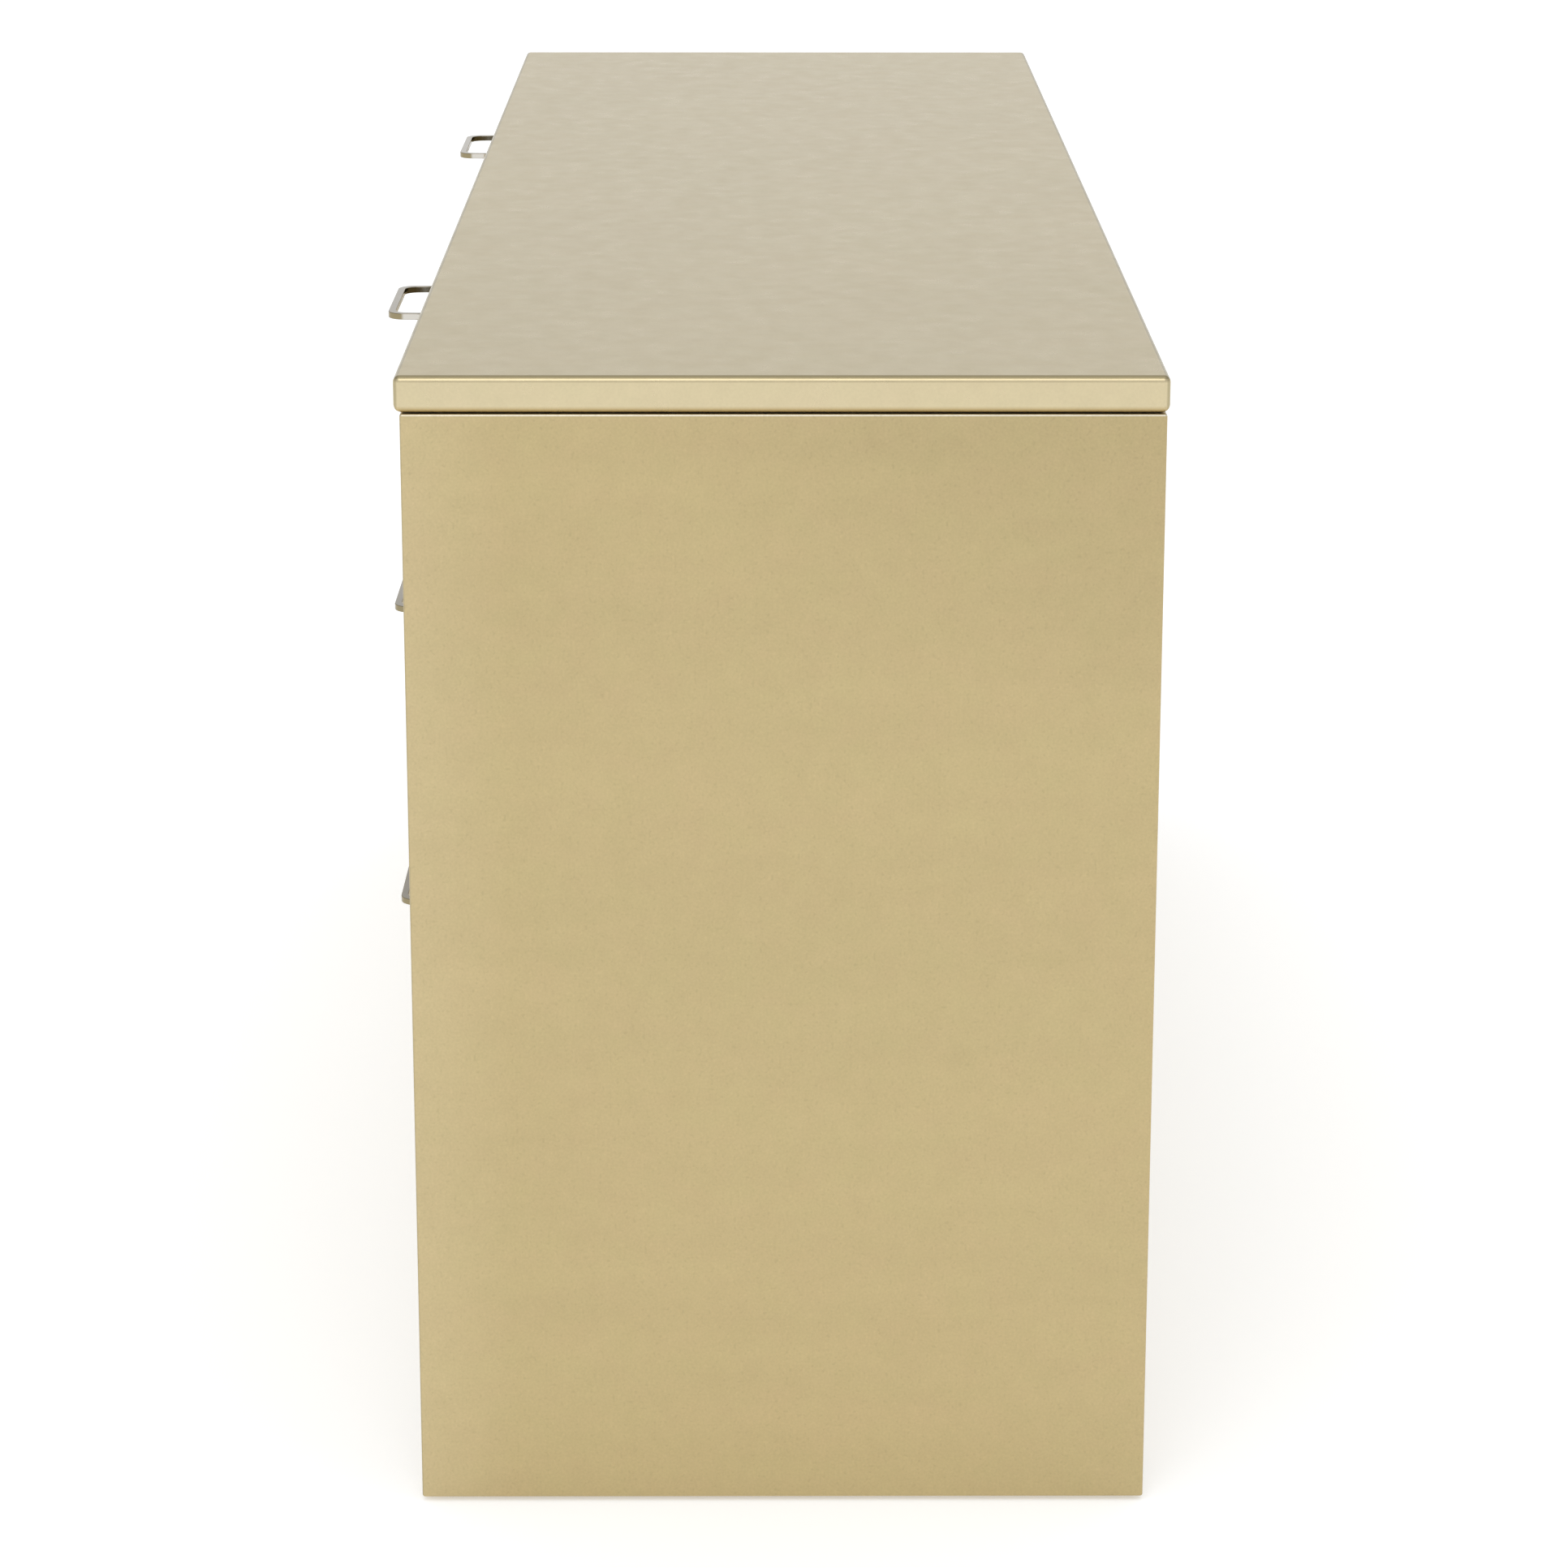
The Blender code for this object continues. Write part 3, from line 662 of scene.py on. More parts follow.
def moulded(name, colour, second, roughness, grain_scale=900.0):
    """Moulded plastic or rubber: slight cloudiness and a fine matt grain."""
    material = bpy.data.materials.new(name)
    tree, shader = nodes_of(material)
    cloud = spread(tree, noise(tree, 70.0, 3.0), 0.0, 1.0, 0.35, 0.65)
    tree.links.new(between_colours(tree, cloud, colour, second), shader.inputs["Base Color"])
    shine = spread(tree, noise(tree, 140.0), roughness - 0.08, roughness + 0.08)
    tree.links.new(shine, shader.inputs["Roughness"])
    bumps(tree, shader, noise(tree, grain_scale), 0.00004)
    return material


def hexagon_nut(across, height, bore, chamfer=0.0004):
    """A hexagon nut standing on z = 0."""
    bm = bmesh.new()
    corner = across / 2 / math.cos(math.pi / 6)
    levels = [(corner - chamfer, 0), (corner, chamfer), (corner, height - chamfer)]
    levels += [(corner - chamfer, height), (bore, height), (bore, 0)]
    angles = [side * math.pi / 3 for side in range(6)]
    rings = [[bm.verts.new((r * math.cos(a), r * math.sin(a), z)) for a in angles] for r, z in levels]
    for lower, upper in zip(rings, rings[1:] + rings[:1]):
        for side in range(6):
            after = (side + 1) % 6
            bm.faces.new([lower[side], lower[after], upper[after], upper[side]])
    bmesh.ops.recalc_face_normals(bm, faces=bm.faces)
    mesh = bpy.data.meshes.new("hexagon")
    bm.to_mesh(mesh)
    bm.free()
    return mesh


zinc_plate = plated_metal("zinc_plate", (0.53, 0.54, 0.545), (0.43, 0.445, 0.465), 0.30, (1, 0.08, 1))
black_nylon = moulded("black_nylon", (0.020, 0.020, 0.021), (0.032, 0.031, 0.030), 0.45)
foot_profile = [(0, 0), (0.0125, 0), (0.0141, 0.0003), (0.0150, 0.0013), (0.0150, 0.0030), (0.0143, 0.0040)]
foot_profile += [(0.0125, 0.0045), (0.0072, 0.0050), (0.0070, 0.0064), (0, 0.0064)]
foot = turned(foot_profile, 48)
stem_profile = [(0, 0.0060)]
for turn in range(THREAD_TURNS):
    root_height, crest_height = 0.0065 + turn * THREAD_PITCH, 0.0065 + (turn + 0.5) * THREAD_PITCH
    stem_profile += [(0.00345, root_height), (0.0040, crest_height)]
stem_profile += [(0.0034, 0.0304), (0.0030, 0.0309), (0, 0.0309)]
stem = turned(stem_profile, 20)
lock_nut = hexagon_nut(across=0.0130, height=0.0050, bore=0.0036)
pan_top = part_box("bottom_pan")[1].z
for corner in ("front_left", "front_right", "back_left", "back_right"):
    low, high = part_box(f"glide_{corner}")
    place = Vector(((low.x + high.x) / 2, (low.y + high.y) / 2, 0))
    glide_foot = copies(f"foot_{corner}", foot, [Matrix.Translation(place)], black_nylon)
    fit(glide_foot, "case", "glide_plastic", f"glide_{corner}")
    glide_stem = copies(f"foot_screw_{corner}", stem, [Matrix.Translation(place)], zinc_plate)
    fit(glide_stem, "case", "zinc_plate")
    on_pan = Matrix.Translation((place.x, place.y, pan_top + NUT_GAP))
    nut = copies(f"foot_nut_{corner}", lock_nut, [on_pan], zinc_plate, 25)
    fit(nut, "case", "zinc_plate")


# ---- Top ----
# A shallow lid pressed from one sheet: rounded along every edge, with a lip turned in
# underneath. Its enamel is paler and a little glossier than the ends. It rests on strips of
# thin foam tape, coloured near black: the dark line over the end walls and the drawers is
# partly the gap's real shade and partly painted shade from that tape.

TOP_EDGE = 0.0042
TOP_LOWER_EDGE = 0.0048
TOP_LIP = 0.024
TOP_PINK = (0.650, 0.546, 0.345)
TOP_GREEN = (0.640, 0.552, 0.342)
# Where the top's upper rounding gets a painted dark reflection.
TOP_DARK_LINE_STOPS = [(0.50, 0.0), (0.65, 0.8), (0.95, 0.8), (0.99, 0.0)]
# Painted shade tint for the top's edges that face down.
TOP_UNDER_SHADE_TINT = (0.40, 0.28, 0.095)
TOP_GLANCE = (1.0, 0.985, 0.93)  # tint of its reflections at a low angle
TAPE_INSET = 0.004
TAPE_WIDTH = 0.012
TAPE_MARGIN = 0.003  # along the back and the top rail
BACK_TAPE_WIDTH = 0.007
TAPE_END = 0.040  # clear of the end walls' tape
TAPE_GAP = 0.0001
TAPE_EDGE = 0.0002

# The top's enamel carries painted light on its rounded edges: a painted dark reflection along the upper
# rounding and on the upright corners, and painted shade where they face down.
top_enamel = metallic_enamel(
    "champagne_enamel_top",
    TOP_PINK,
    TOP_GREEN,
    metallic=0.90,
    roughness=0.30,
    grain=0.02,
    coat=0.20,
    specks=0.0,
    peel=0.00002,
    fine=0.0,
    crest=DARK_REFLECTION_TINT,
    crest_stops=TOP_DARK_LINE_STOPS,
    under=TOP_UNDER_SHADE_TINT,
    corners=(-1, 1),
)
top_enamel.node_tree.nodes["Principled BSDF"].inputs["Specular Tint"].default_value = (*TOP_GLANCE, 1)
low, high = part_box("top")
top_skin = skin(low, high, lip_side="-Z", lip_width=TOP_LIP)
edge_share = top_skin.attributes.new("bevel_weight_edge", "FLOAT", "EDGE")
for edge, share in zip(top_skin.edges, edge_share.data):
    ends = [top_skin.vertices[index].co for index in edge.vertices]
    outside = all(abs(abs(end.x) - high.x) < 1e-5 for end in ends) or all(
        min(abs(end.y - low.y), abs(end.y - high.y)) < 1e-5 for end in ends
    )
    underneath = all(abs(end.z - low.z) < 1e-5 for end in ends)
    share.value = (1.0 if underneath else TOP_EDGE / TOP_LOWER_EDGE) if outside else 0.0
top_cover = folded("top_cover", top_skin, top_enamel, TOP_LOWER_EDGE, 7)
top_cover.modifiers["bends"].limit_method = "WEIGHT"
fit(top_cover, "case", "champagne_paint", "top")

# The foam is coloured near black as painted shade, deepening the dark line of the gap under the top.
foam = moulded("dark_foam_and_gap_shade", (0.055, 0.050, 0.042), (0.085, 0.078, 0.066), 0.85, 1400.0)
case_low, case_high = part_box("end_panel_left")[0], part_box("end_panel_right")[1]
left_x, right_x = case_low.x + TAPE_INSET, case_high.x - TAPE_INSET
front_y, back_y = case_low.y + TAPE_INSET, case_high.y - TAPE_INSET
rail_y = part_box("top_rail")[0].y + TAPE_MARGIN
rear_y = case_high.y - TAPE_MARGIN
strips = {
    "left": (left_x, front_y, left_x + TAPE_WIDTH, back_y),
    "right": (right_x - TAPE_WIDTH, front_y, right_x, back_y),
    "back": (case_low.x + TAPE_END, rear_y - BACK_TAPE_WIDTH, case_high.x - TAPE_END, rear_y),
    "front": (case_low.x + TAPE_END, rail_y, case_high.x - TAPE_END, rail_y + TAPE_WIDTH),
}
tape_foot, tape_top = case_high.z + WALL_RISE + TAPE_GAP, low.z - TAPE_GAP
for place, (x0, y0, x1, y1) in strips.items():
    tape = link_piece(f"foam_tape_{place}", skin((x0, y0, tape_foot), (x1, y1, tape_top)), foam)
    rounded_edges(tape, TAPE_EDGE, 2)
    smooth_bends(tape)
    fit(tape, "case", "champagne_paint")


# ---- Drawer slides ----
# Each drawer runs on a pair of zinc-plated channels. The fixed one is screwed to the wall and
# has a nylon roller riveted in at its front. The runner on the drawer travels round that
# roller, and a nylon block on its rear end keeps it centred.

ROLLER_RADIUS = 0.0173
ROLLER_WIDTH = 0.0066
ROLLER_SETBACK = 0.020
ROLLER_GAP = 0.0010
BLOCK_LENGTH = 0.026
BLOCK_THICKNESS = 0.0054
BLOCK_RISE = 0.0024
BLOCK_END_GAP = 0.001
BLOCK_EDGE = 0.0011
SLIDE_BEND = 0.0015
CHANNEL_SCREW_INSETS = (0.075, 0.035)  # from its front and rear end
RUNNER_RIVET_INSETS = (0.030, 0.060)

white_nylon = moulded("white_nylon", (0.72, 0.70, 0.64), (0.66, 0.64, 0.57), 0.38)
roller_half = [(ROLLER_RADIUS - 0.0006, 0.0), (ROLLER_RADIUS, 0.0006)]
roller_half += [(ROLLER_RADIUS, 0.0019), (ROLLER_RADIUS - 0.0007, 0.0027)]
roller_profile = [(0, 0), (0.0150, 0)] + roller_half
roller_profile += [(radius, ROLLER_WIDTH - height) for radius, height in reversed(roller_half)]
roller_profile += [(0.0150, ROLLER_WIDTH), (0.0142, ROLLER_WIDTH - 0.0012), (0.0070, ROLLER_WIDTH - 0.0012)]
roller_profile += [(0.0064, ROLLER_WIDTH), (0, ROLLER_WIDTH)]
roller = turned(roller_profile, 48)
axle_rivet = turned([(0.0042, 0), (0.0042, 0.0003), (0.0036, 0.0009), (0.0022, 0.0012), (0, 0.0012)], 28)
flat_rivet = turned([(0.0038, 0), (0.0038, 0.0002), (0.0033, 0.0005), (0.0018, 0.0007), (0, 0.0007)], 28)
slide_screw = button_head(0.0038, 0.0017, 0.0013)

runner_rivets, block_places = {}, {}
wall_screws, roller_places, axle_places = [], [], []
for column in ("left", "right"):
    for row in ("top", "middle", "bottom"):
        drawer = f"drawer_{column}_{row}"
        middle_x = sum(corner.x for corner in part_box(f"drawer_box_{column}_{row}")) / 2
        for wall in ("inner", "outer"):
            name = f"{column}_{row}_{wall}"
            low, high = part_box(f"slide_channel_{name}")
            into = 1 if low.x < middle_x else -1  # from the wall towards the drawer
            mouth, mount = ("+X", "-X") if into > 0 else ("-X", "+X")
            channel_skin = skin(low, high, [mouth, "+Y", "-Y"])
            channel = folded(f"channel_{name}", channel_skin, zinc_plate, SLIDE_BEND, 4)
            fit(channel, "case", "zinc_plate", f"slide_channel_{name}")
            web_x = (low.x if into > 0 else high.x) + into * SHEET
            axis_z = (low.z + high.z) / 2
            hub = Vector((web_x + into * ROLLER_GAP, low.y + ROLLER_SETBACK, axis_z))
            roller_places.append(facing(hub, (into, 0, 0)))
            axle_places.append(facing(hub + Vector((into * ROLLER_WIDTH, 0, 0)), (into, 0, 0)))
            from_front, from_rear = CHANNEL_SCREW_INSETS
            for y in (low.y + from_front, (low.y + high.y) / 2, high.y - from_rear):
                wall_screws.append(facing((web_x, y, axis_z), (into, 0, 0)))
            low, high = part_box(f"slide_runner_{name}")
            runner_skin = skin(low, high, [mount, "+Y", "-Y"])
            runner = folded(f"runner_{name}", runner_skin, zinc_plate, SLIDE_BEND, 4)
            fit(runner, drawer, "zinc_plate", f"slide_runner_{name}")
            box_x = (high.x if into > 0 else low.x) - into * SHEET
            from_front, from_rear = RUNNER_RIVET_INSETS
            for y in (low.y + from_front, (low.y + high.y) / 2, high.y - from_rear):
                runner_rivets.setdefault(drawer, []).append(facing((box_x, y, axis_z), (-into, 0, 0)))
            wall_end = low.x if into > 0 else high.x
            x0, x1 = sorted((wall_end, wall_end + into * BLOCK_THICKNESS))
            block_low = (x0, high.y - BLOCK_LENGTH, low.z - BLOCK_RISE)
            block_high = (x1, high.y - BLOCK_END_GAP, high.z + BLOCK_RISE)
            block_places.setdefault(drawer, []).append((block_low, block_high))
fit(copies("slide_rollers", roller, roller_places, white_nylon), "case", "zinc_plate")
fit(copies("roller_rivets", axle_rivet, axle_places, screw_plate), "case", "zinc_plate")
fit(copies("channel_screws", slide_screw, wall_screws, screw_plate), "case", "zinc_plate")
for drawer, places in runner_rivets.items():
    name = drawer.removeprefix("drawer_")
    fit(copies(f"runner_rivets_{name}", flat_rivet, places, screw_plate), drawer, "zinc_plate")
for drawer, blocks in block_places.items():
    name = drawer.removeprefix("drawer_")
    for count, (low, high) in enumerate(blocks):
        block = link_piece(f"guide_block_{name}_{count}", skin(low, high), white_nylon)
        rounded_edges(block, BLOCK_EDGE, 3)
        smooth_bends(block)
        fit(block, drawer, "zinc_plate")


# ---- Drawer boxes ----
# An open box folded from one sheet and enamelled inside and out. Three long beads are pressed
# up into its floor, its upper edge is rolled over outwards, and eight screws through its front
# wall hold the drawer front.

BOX_BEND = 0.003
FLOOR_BEAD_RADIUS = 0.010
FLOOR_BEAD_DEPTH = 0.0016
FLOOR_BEAD_SHARES = (0.2, 0.5, 0.8)  # of the box's depth
FLOOR_BEAD_END = 0.05
FRONT_SCREW_INSETS = (0.035, 0.25)
FRONT_SCREW_HEIGHTS = (0.035, 0.120)
HEM_PROFILE = [
    (-0.00125, -0.0016),
    (-0.00125, -0.0004),
    (-0.0009, 0.0001),
    (-0.0003, 0.00025),
    (0.0005, 0.00025),
    (0.0011, 0.0001),
    (0.0016, -0.0004),
    (0.0016, -0.0088),
    (0.0014, -0.0090),
    (0.0003, -0.0090),
]


def swept(path, profile):
    """A closed profile of (outwards, up) points carried along a level path, outwards being to its left."""
    bm = bmesh.new()
    path = [Vector((x, y, z)) for x, y, z in path]
    rings = []
    for step, point in enumerate(path):
        before = (point - path[step - 1]).normalized() if step else None
        after = (path[step + 1] - point).normalized() if step < len(path) - 1 else None
        before, after = before or after, after or before
        course = (before + after).normalized()
        left = Vector((-course.y, course.x, 0)) / max(course.dot(after), 0.2)
        rings.append([bm.verts.new(point + left * out + Vector((0, 0, up))) for out, up in profile])
    count = len(profile)
    for ring, following in zip(rings, rings[1:]):
        for corner in range(count):
            after = (corner + 1) % count
            bm.faces.new([ring[corner], ring[after], following[after], following[corner]])
    bm.faces.new(rings[0])
    bm.faces.new(list(reversed(rings[-1])))
    bmesh.ops.recalc_face_normals(bm, faces=bm.faces)
    mesh = bpy.data.meshes.new("swept")
    bm.to_mesh(mesh)
    bm.free()
    return mesh


def curved(centre, radius, start, end, steps=8):
    """Points (x, y) round an arc, its angles in degrees."""
    angles = [math.radians(start + (end - start) * step / steps) for step in range(steps + 1)]
    return [(centre[0] + radius * math.cos(a), centre[1] + radius * math.sin(a)) for a in angles]


front_screw = button_head(0.0045, 0.0021, 0.0016)
for column in ("left", "right"):
    for row in ("top", "middle", "bottom"):
        name, drawer = f"{column}_{row}", f"drawer_{column}_{row}"
        low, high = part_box(f"drawer_box_{name}")
        bead_lines = [low.y + share * (high.y - low.y) for share in FLOOR_BEAD_SHARES]
        beads = [(low.x + FLOOR_BEAD_END, y, high.x - FLOOR_BEAD_END, y) for y in bead_lines]
        box_skin = pressed_skin(low, high, "-Z", beads, FLOOR_BEAD_RADIUS, FLOOR_BEAD_DEPTH)
        box = folded(f"box_{name}", box_skin, inside_enamel, BOX_BEND, 4)
        fit(box, drawer, "inside_paint", f"drawer_box_{name}")
        hem_path = [(low.x, low.y + BOX_BEND)]
        hem_path += curved((low.x + BOX_BEND, high.y - BOX_BEND), BOX_BEND, 180, 90)
        hem_path += curved((high.x - BOX_BEND, high.y - BOX_BEND), BOX_BEND, 90, 0)
        hem_path += [(high.x, low.y + BOX_BEND)]
        hem_mesh = swept([(x, y, high.z) for x, y in hem_path], HEM_PROFILE)
        hem = link_piece(f"box_hem_{name}", hem_mesh, inside_enamel)
        hem.data.shade_smooth()
        hem.data.set_sharp_from_angle(angle=math.radians(50))
        fit(hem, drawer, "inside_paint")
        screw_lines = [low.x + inset for inset in FRONT_SCREW_INSETS]
        screw_lines += [high.x - inset for inset in reversed(FRONT_SCREW_INSETS)]
        places = [
            facing((x, low.y + SHEET, low.z + up), (0, 1, 0))
            for x in screw_lines
            for up in FRONT_SCREW_HEIGHTS
        ]
        fit(copies(f"front_screws_{name}", front_screw, places, screw_plate), drawer, "zinc_plate")


# ---- Drawer fronts ----
# Inset fronts, 19 mm thick and double-skinned: an outer pan with small crisp edges, open
# underneath and turned in behind, and a flat skin spot-welded inside that edge. They are
# enamelled with the ends, and lie flush with their front edges.

FRONT_EDGE = 0.002
FRONT_RETURN = 0.012
REAR_GAP = 0.0001
REAR_INSET = 0.0025
REAR_FOOT = 0.001

for column in ("left", "right"):
    for row in ("top", "middle", "bottom"):
        name, drawer = f"{column}_{row}", f"drawer_{column}_{row}"
        low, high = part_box(f"drawer_front_{name}")
        pan = folded(f"front_{name}", skin(low, high, ["-Z"], "+Y", FRONT_RETURN), end_enamel, FRONT_EDGE)
        fit(pan, drawer, "champagne_paint", f"drawer_front_{name}")
        behind = high.y - SHEET - REAR_GAP
        rear_low = (low.x + REAR_INSET, behind - SHEET, low.z + REAR_FOOT)
        rear_high = (high.x - REAR_INSET, behind, high.z - REAR_INSET)
        rear_skin = link_piece(f"front_rear_skin_{name}", skin(rear_low, rear_high), inside_enamel)
        rounded_edges(rear_skin, FLAT_EDGE, 2)
        smooth_bends(rear_skin)
        fit(rear_skin, drawer, "inside_paint")


# ---- Pulls ----
# Slim bow pulls of flat steel bar, bent to a U with rounded corners, polished and chromed. Each
# stands just under the upper edge of its front and is held from behind by two flush screws.

BAR_WIDTH = 0.005
LEG_ROOT = 0.0042
OUTER_RADIUS = 0.012
INNER_RADIUS = 0.009
BAR_EDGE = 0.0005
PULL_GAP = 0.00005
PULL_CENTRES = 0.1016
# The span of the painted reflection next to the drawer front, on the pulls' inner faces.
ROOT_REFLECTION_SPAN = (0.0216, 0.0086)  # where it starts and is full, in front of the drawer front
drawer_face_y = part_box("drawer_front_left_top")[0].y


def polished(name, colour, second, roughness, corner=None, leg=None, root=None):
    """Bright plating: hairline polishing marks and the odd smear in its gloss.

    Where given, corner is a painted reflection, a warm olive, on the bends that face outwards,
    leg a painted highlight on the flat sides, and root a painted reflection next to the drawer
    front.
    """
    material = bpy.data.materials.new(name)
    tree, shader = nodes_of(material)
    cloud = spread(tree, noise(tree, 60.0, 3.0, seed=2.0), 0.0, 1.0, 0.35, 0.65)
    hue = between_colours(tree, cloud, colour, second)
    # Painted highlight on the flat sides of the legs.
    if leg:
        sideways = tree.nodes.new("ShaderNodeMath")
        sideways.operation = "ABSOLUTE"
        tree.links.new(along(tree, "X", "Normal"), sideways.inputs[0])
        hue = blended(tree, spread(tree, sideways.outputs[0], 0.0, 1.0, 0.90, 0.99), hue, leg)
    # Painted reflection, a warm olive, on the bends that face outwards.
    if corner:
        outward = spread(tree, along(tree, "Y", "Normal"), 0.0, 1.0, 0.0, -1.0)
        hue = blended(tree, ramp(tree, outward, [(0.06, 0), (0.22, 1), (0.90, 1), (0.98, 0)]), hue, corner)
    # Painted reflection, paler, next to the drawer front.
    if root:
        start, full = (drawer_face_y - reach for reach in ROOT_REFLECTION_SPAN)
        hue = blended(tree, spread(tree, along(tree, "Y"), 0.0, 1.0, start, full), hue, root)
    tree.links.new(hue, shader.inputs["Base Color"])
    shader.inputs["Metallic"].default_value = 1.0
    shine = spread(tree, noise(tree, 120.0, 4.0, (0.15, 1, 1), 3.0), roughness * 0.6, roughness * 1.6)
    tree.links.new(shine, shader.inputs["Roughness"])
    bumps(tree, shader, noise(tree, 900.0, 2.0, (0.1, 1, 1), 5.0), 0.000006)
    return material


def bar_between(outer, inner, low, high, edge, steps=4):
    """A flat bar whose plan lies between an outer and an inner line, with rounded edges."""
    bm = bmesh.new()
    corner_points = []
    for side, level, start in ((1, 1, 0), (-1, 1, 90), (-1, -1, 180), (1, -1, 270)):
        corner_points += [(side, level, math.radians(start + 90 * step / steps)) for step in range(steps + 1)]
    rings = []
    for (ox, oy), (ix, iy) in zip(outer, inner):
        across = Vector((ox - ix, oy - iy, 0))
        middle = Vector(((ox + ix) / 2, (oy + iy) / 2, (low + high) / 2))
        half, rise = across.length / 2, (high - low) / 2
        across.normalize()
        ring = []
        for side, level, angle in corner_points:
            out = side * (half - edge) + edge * math.cos(angle)
            up = level * (rise - edge) + edge * math.sin(angle)
            ring.append(bm.verts.new(middle + across * out + Vector((0, 0, up))))
        rings.append(ring)
    count = len(corner_points)
    for ring, following in zip(rings, rings[1:]):
        for corner in range(count):
            after = (corner + 1) % count
            bm.faces.new([ring[corner], ring[after], following[after], following[corner]])
    bm.faces.new(rings[0])
    bm.faces.new(list(reversed(rings[-1])))
    bmesh.ops.recalc_face_normals(bm, faces=bm.faces)
    mesh = bpy.data.meshes.new("bar")
    bm.to_mesh(mesh)
    bm.free()
    return mesh


# The chrome carries a painted reflection, a warm olive, on its outward bends, and a painted highlight on the
# flat sides of its legs.
chrome = polished(
    "polished_chrome",
    (0.38, 0.343, 0.275),
    (0.34, 0.308, 0.248),
    roughness=0.055,
    corner=(0.30, 0.25, 0.145),
    leg=(0.62, 0.59, 0.53),
)
# A near-black copy of the chrome for the faces turned in towards the drawer front: painted shade, with a
# painted reflection next to the drawer front.
chrome_painted_shade = polished(
    "polished_chrome_painted_shade",
    (0.075, 0.062, 0.040),
    (0.12, 0.105, 0.072),
    roughness=0.12,
    root=(0.24, 0.235, 0.205),
)
flush_screw = button_head(0.0036, 0.0002, 0.0014)
for column in ("left", "right"):
    for row in ("top", "middle", "bottom"):
        name, drawer = f"{column}_{row}", f"drawer_{column}_{row}"
        low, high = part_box(f"handle_{name}")
        front_low, front_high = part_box(f"drawer_front_{name}")
        middle_x, half = (low.x + high.x) / 2, (high.x - low.x) / 2
        foot_y = front_low.y - PULL_GAP
        root = half - LEG_ROOT
        inside = half - BAR_WIDTH
        outer = [(half, foot_y), (half, (foot_y + low.y) / 2)]
        outer += curved((half - OUTER_RADIUS, low.y + OUTER_RADIUS), OUTER_RADIUS, 0, -90, 12)
        inner = [(root, foot_y), ((root + inside) / 2, (foot_y + low.y) / 2)]
        inner += curved((inside - INNER_RADIUS, low.y + BAR_WIDTH + INNER_RADIUS), INNER_RADIUS, 0, -90, 12)
        outer += [(-x, y) for x, y in reversed(outer)]
        inner += [(-x, y) for x, y in reversed(inner)]
        bar = bar_between(outer, inner, low.z, high.z, BAR_EDGE)
        bar.transform(Matrix.Translation((middle_x, 0, 0)))
        pull = link_piece(f"pull_{name}", bar, chrome)
        # The second material, a near-black copy of the chrome, is painted shade on the faces turned in
        # towards the drawer front.
        bar.materials.append(chrome_painted_shade)
        for face in bar.polygons:
            off_middle = face.center.x - middle_x
            if abs(off_middle) < inside - INNER_RADIUS / 2:
                faces_in = face.normal.y > 0.6
            else:
                faces_in = face.normal.x * off_middle < 0 and abs(face.normal.z) < 0.5
            face.material_index = 1 if faces_in and face.normal.y > -0.5 else 0
        bar.shade_smooth()
        smooth_bends(pull)
        fit(pull, drawer, "polished_chrome", f"handle_{name}")
        bar_z = (low.z + high.z) / 2
        screw_lines = [middle_x + way * PULL_CENTRES / 2 for way in (-1, 1)]
        places = [facing((x, front_high.y, bar_z), (0, 1, 0)) for x in screw_lines]
        fit(copies(f"pull_screws_{name}", flush_screw, places, screw_plate), drawer, "zinc_plate")


# ---- Hanging rails ----
# Two flat steel rails stand across each bottom drawer on legs against its sides, 390 mm apart
# for legal-size folders. Their feet are turned into tabs and riveted to the box.

RAIL_HEIGHT = 0.012
RAIL_LEG = 0.014
RAIL_CORNER = 0.006
RAIL_FILLET = 0.004
RAIL_EDGE = 0.0005
TAB_REACH = 0.013
TAB_HEIGHT = 0.030
TAB_LAP = 0.001
TAB_RIVET_REACH = 0.007
TAB_RIVET_HEIGHTS = (0.008, 0.022)
TAB_EDGE = 0.0004

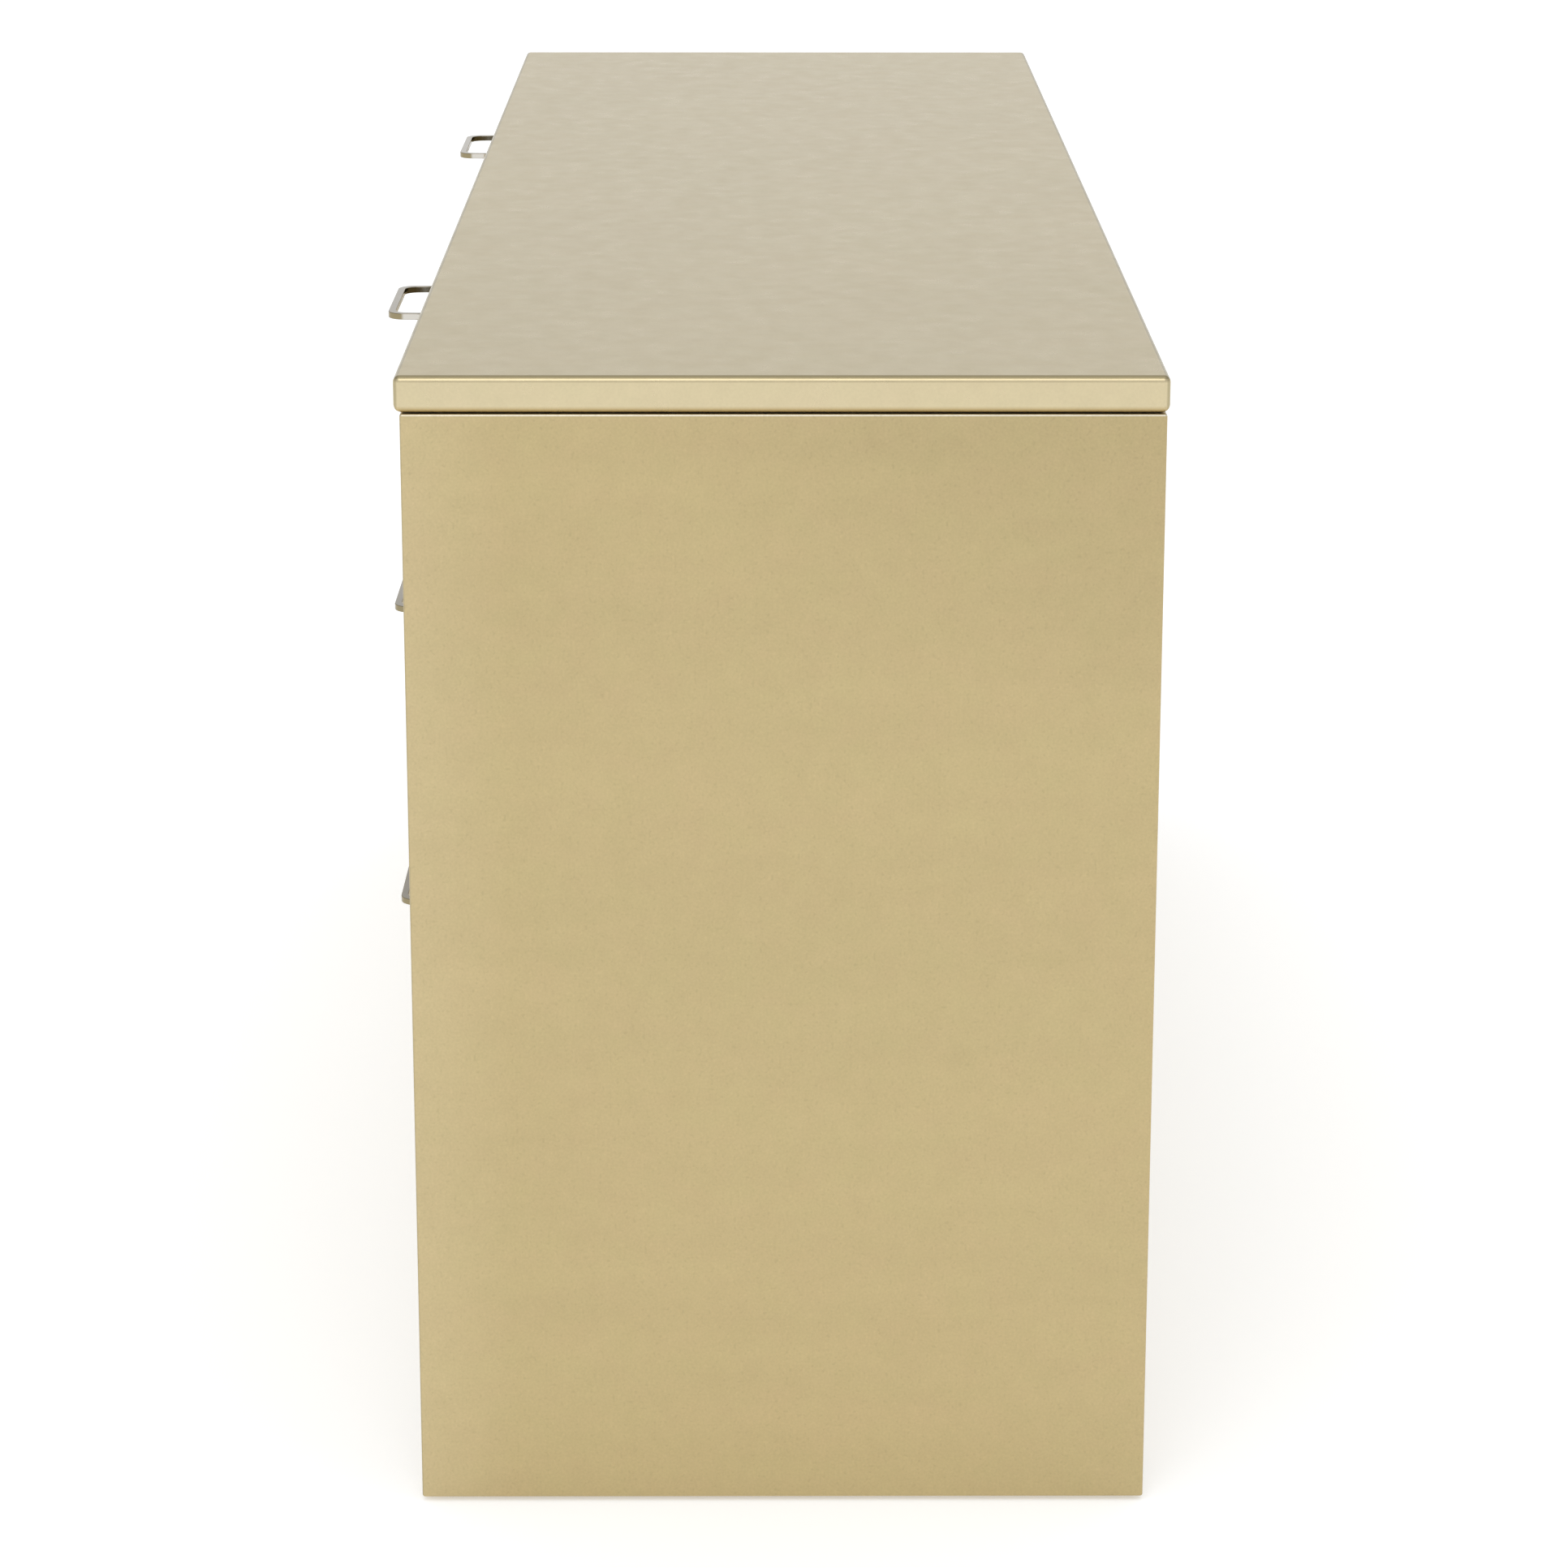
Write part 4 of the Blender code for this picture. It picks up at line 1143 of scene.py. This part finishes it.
rail_steel = plated_metal("rail_steel", (0.47, 0.47, 0.46), (0.37, 0.37, 0.37), 0.34, (0.06, 1, 1))
for column in ("left", "right"):
    drawer = f"drawer_{column}_bottom"
    rivets = []
    for place, inwards in (("front", 1), ("back", -1)):
        low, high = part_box(f"file_rail_{column}_{place}")
        middle_x, half = (low.x + high.x) / 2, (high.x - low.x) / 2
        leg, under = half - RAIL_LEG, high.z - RAIL_HEIGHT
        outline = [(leg, low.z), (half, low.z)]
        outline += curved((half - RAIL_CORNER, high.z - RAIL_CORNER), RAIL_CORNER, 0, 90)
        outline += [(-x, z) for x, z in reversed(outline)]
        fillet = curved((0, under - RAIL_FILLET), RAIL_FILLET, 0, 90, 6)
        outline += [(-leg + RAIL_FILLET - x, z) for x, z in fillet]
        outline += [(leg - RAIL_FILLET + x, z) for x, z in reversed(fillet)]
        bm = bmesh.new()
        near = [bm.verts.new((middle_x + x, low.y, z)) for x, z in outline]
        far = [bm.verts.new((middle_x + x, high.y, z)) for x, z in outline]
        bm.faces.new(near)
        bm.faces.new(list(reversed(far)))
        for step in range(len(outline)):
            after = (step + 1) % len(outline)
            bm.faces.new([near[step], far[step], far[after], near[after]])
        bmesh.ops.recalc_face_normals(bm, faces=bm.faces)
        rail_mesh = bpy.data.meshes.new("rail")
        bm.to_mesh(rail_mesh)
        bm.free()
        rail = link_piece(f"hanging_rail_{column}_{place}", rail_mesh, rail_steel)
        rounded_edges(rail, RAIL_EDGE, 2)
        smooth_bends(rail)
        fit(rail, drawer, "rail_steel", f"file_rail_{column}_{place}")
        for end, way in (("left", 1), ("right", -1)):
            wall_x = low.x if way > 0 else high.x
            x0, x1 = sorted((wall_x, wall_x + way * SHEET))
            inner_y = high.y if inwards > 0 else low.y
            y0, y1 = sorted((inner_y - inwards * TAB_LAP, inner_y + inwards * TAB_REACH))
            tab_mesh = skin((x0, y0, low.z), (x1, y1, low.z + TAB_HEIGHT))
            tab = link_piece(f"rail_tab_{column}_{place}_{end}", tab_mesh, rail_steel)
            rounded_edges(tab, TAB_EDGE, 2)
            smooth_bends(tab)
            fit(tab, drawer, "rail_steel")
            rivet_y = inner_y + inwards * TAB_RIVET_REACH
            for up in TAB_RIVET_HEIGHTS:
                rivets.append(facing((wall_x + way * SHEET, rivet_y, low.z + up), (way, 0, 0)))
    fit(copies(f"rail_rivets_{column}", flat_rivet, rivets, screw_plate), drawer, "zinc_plate")
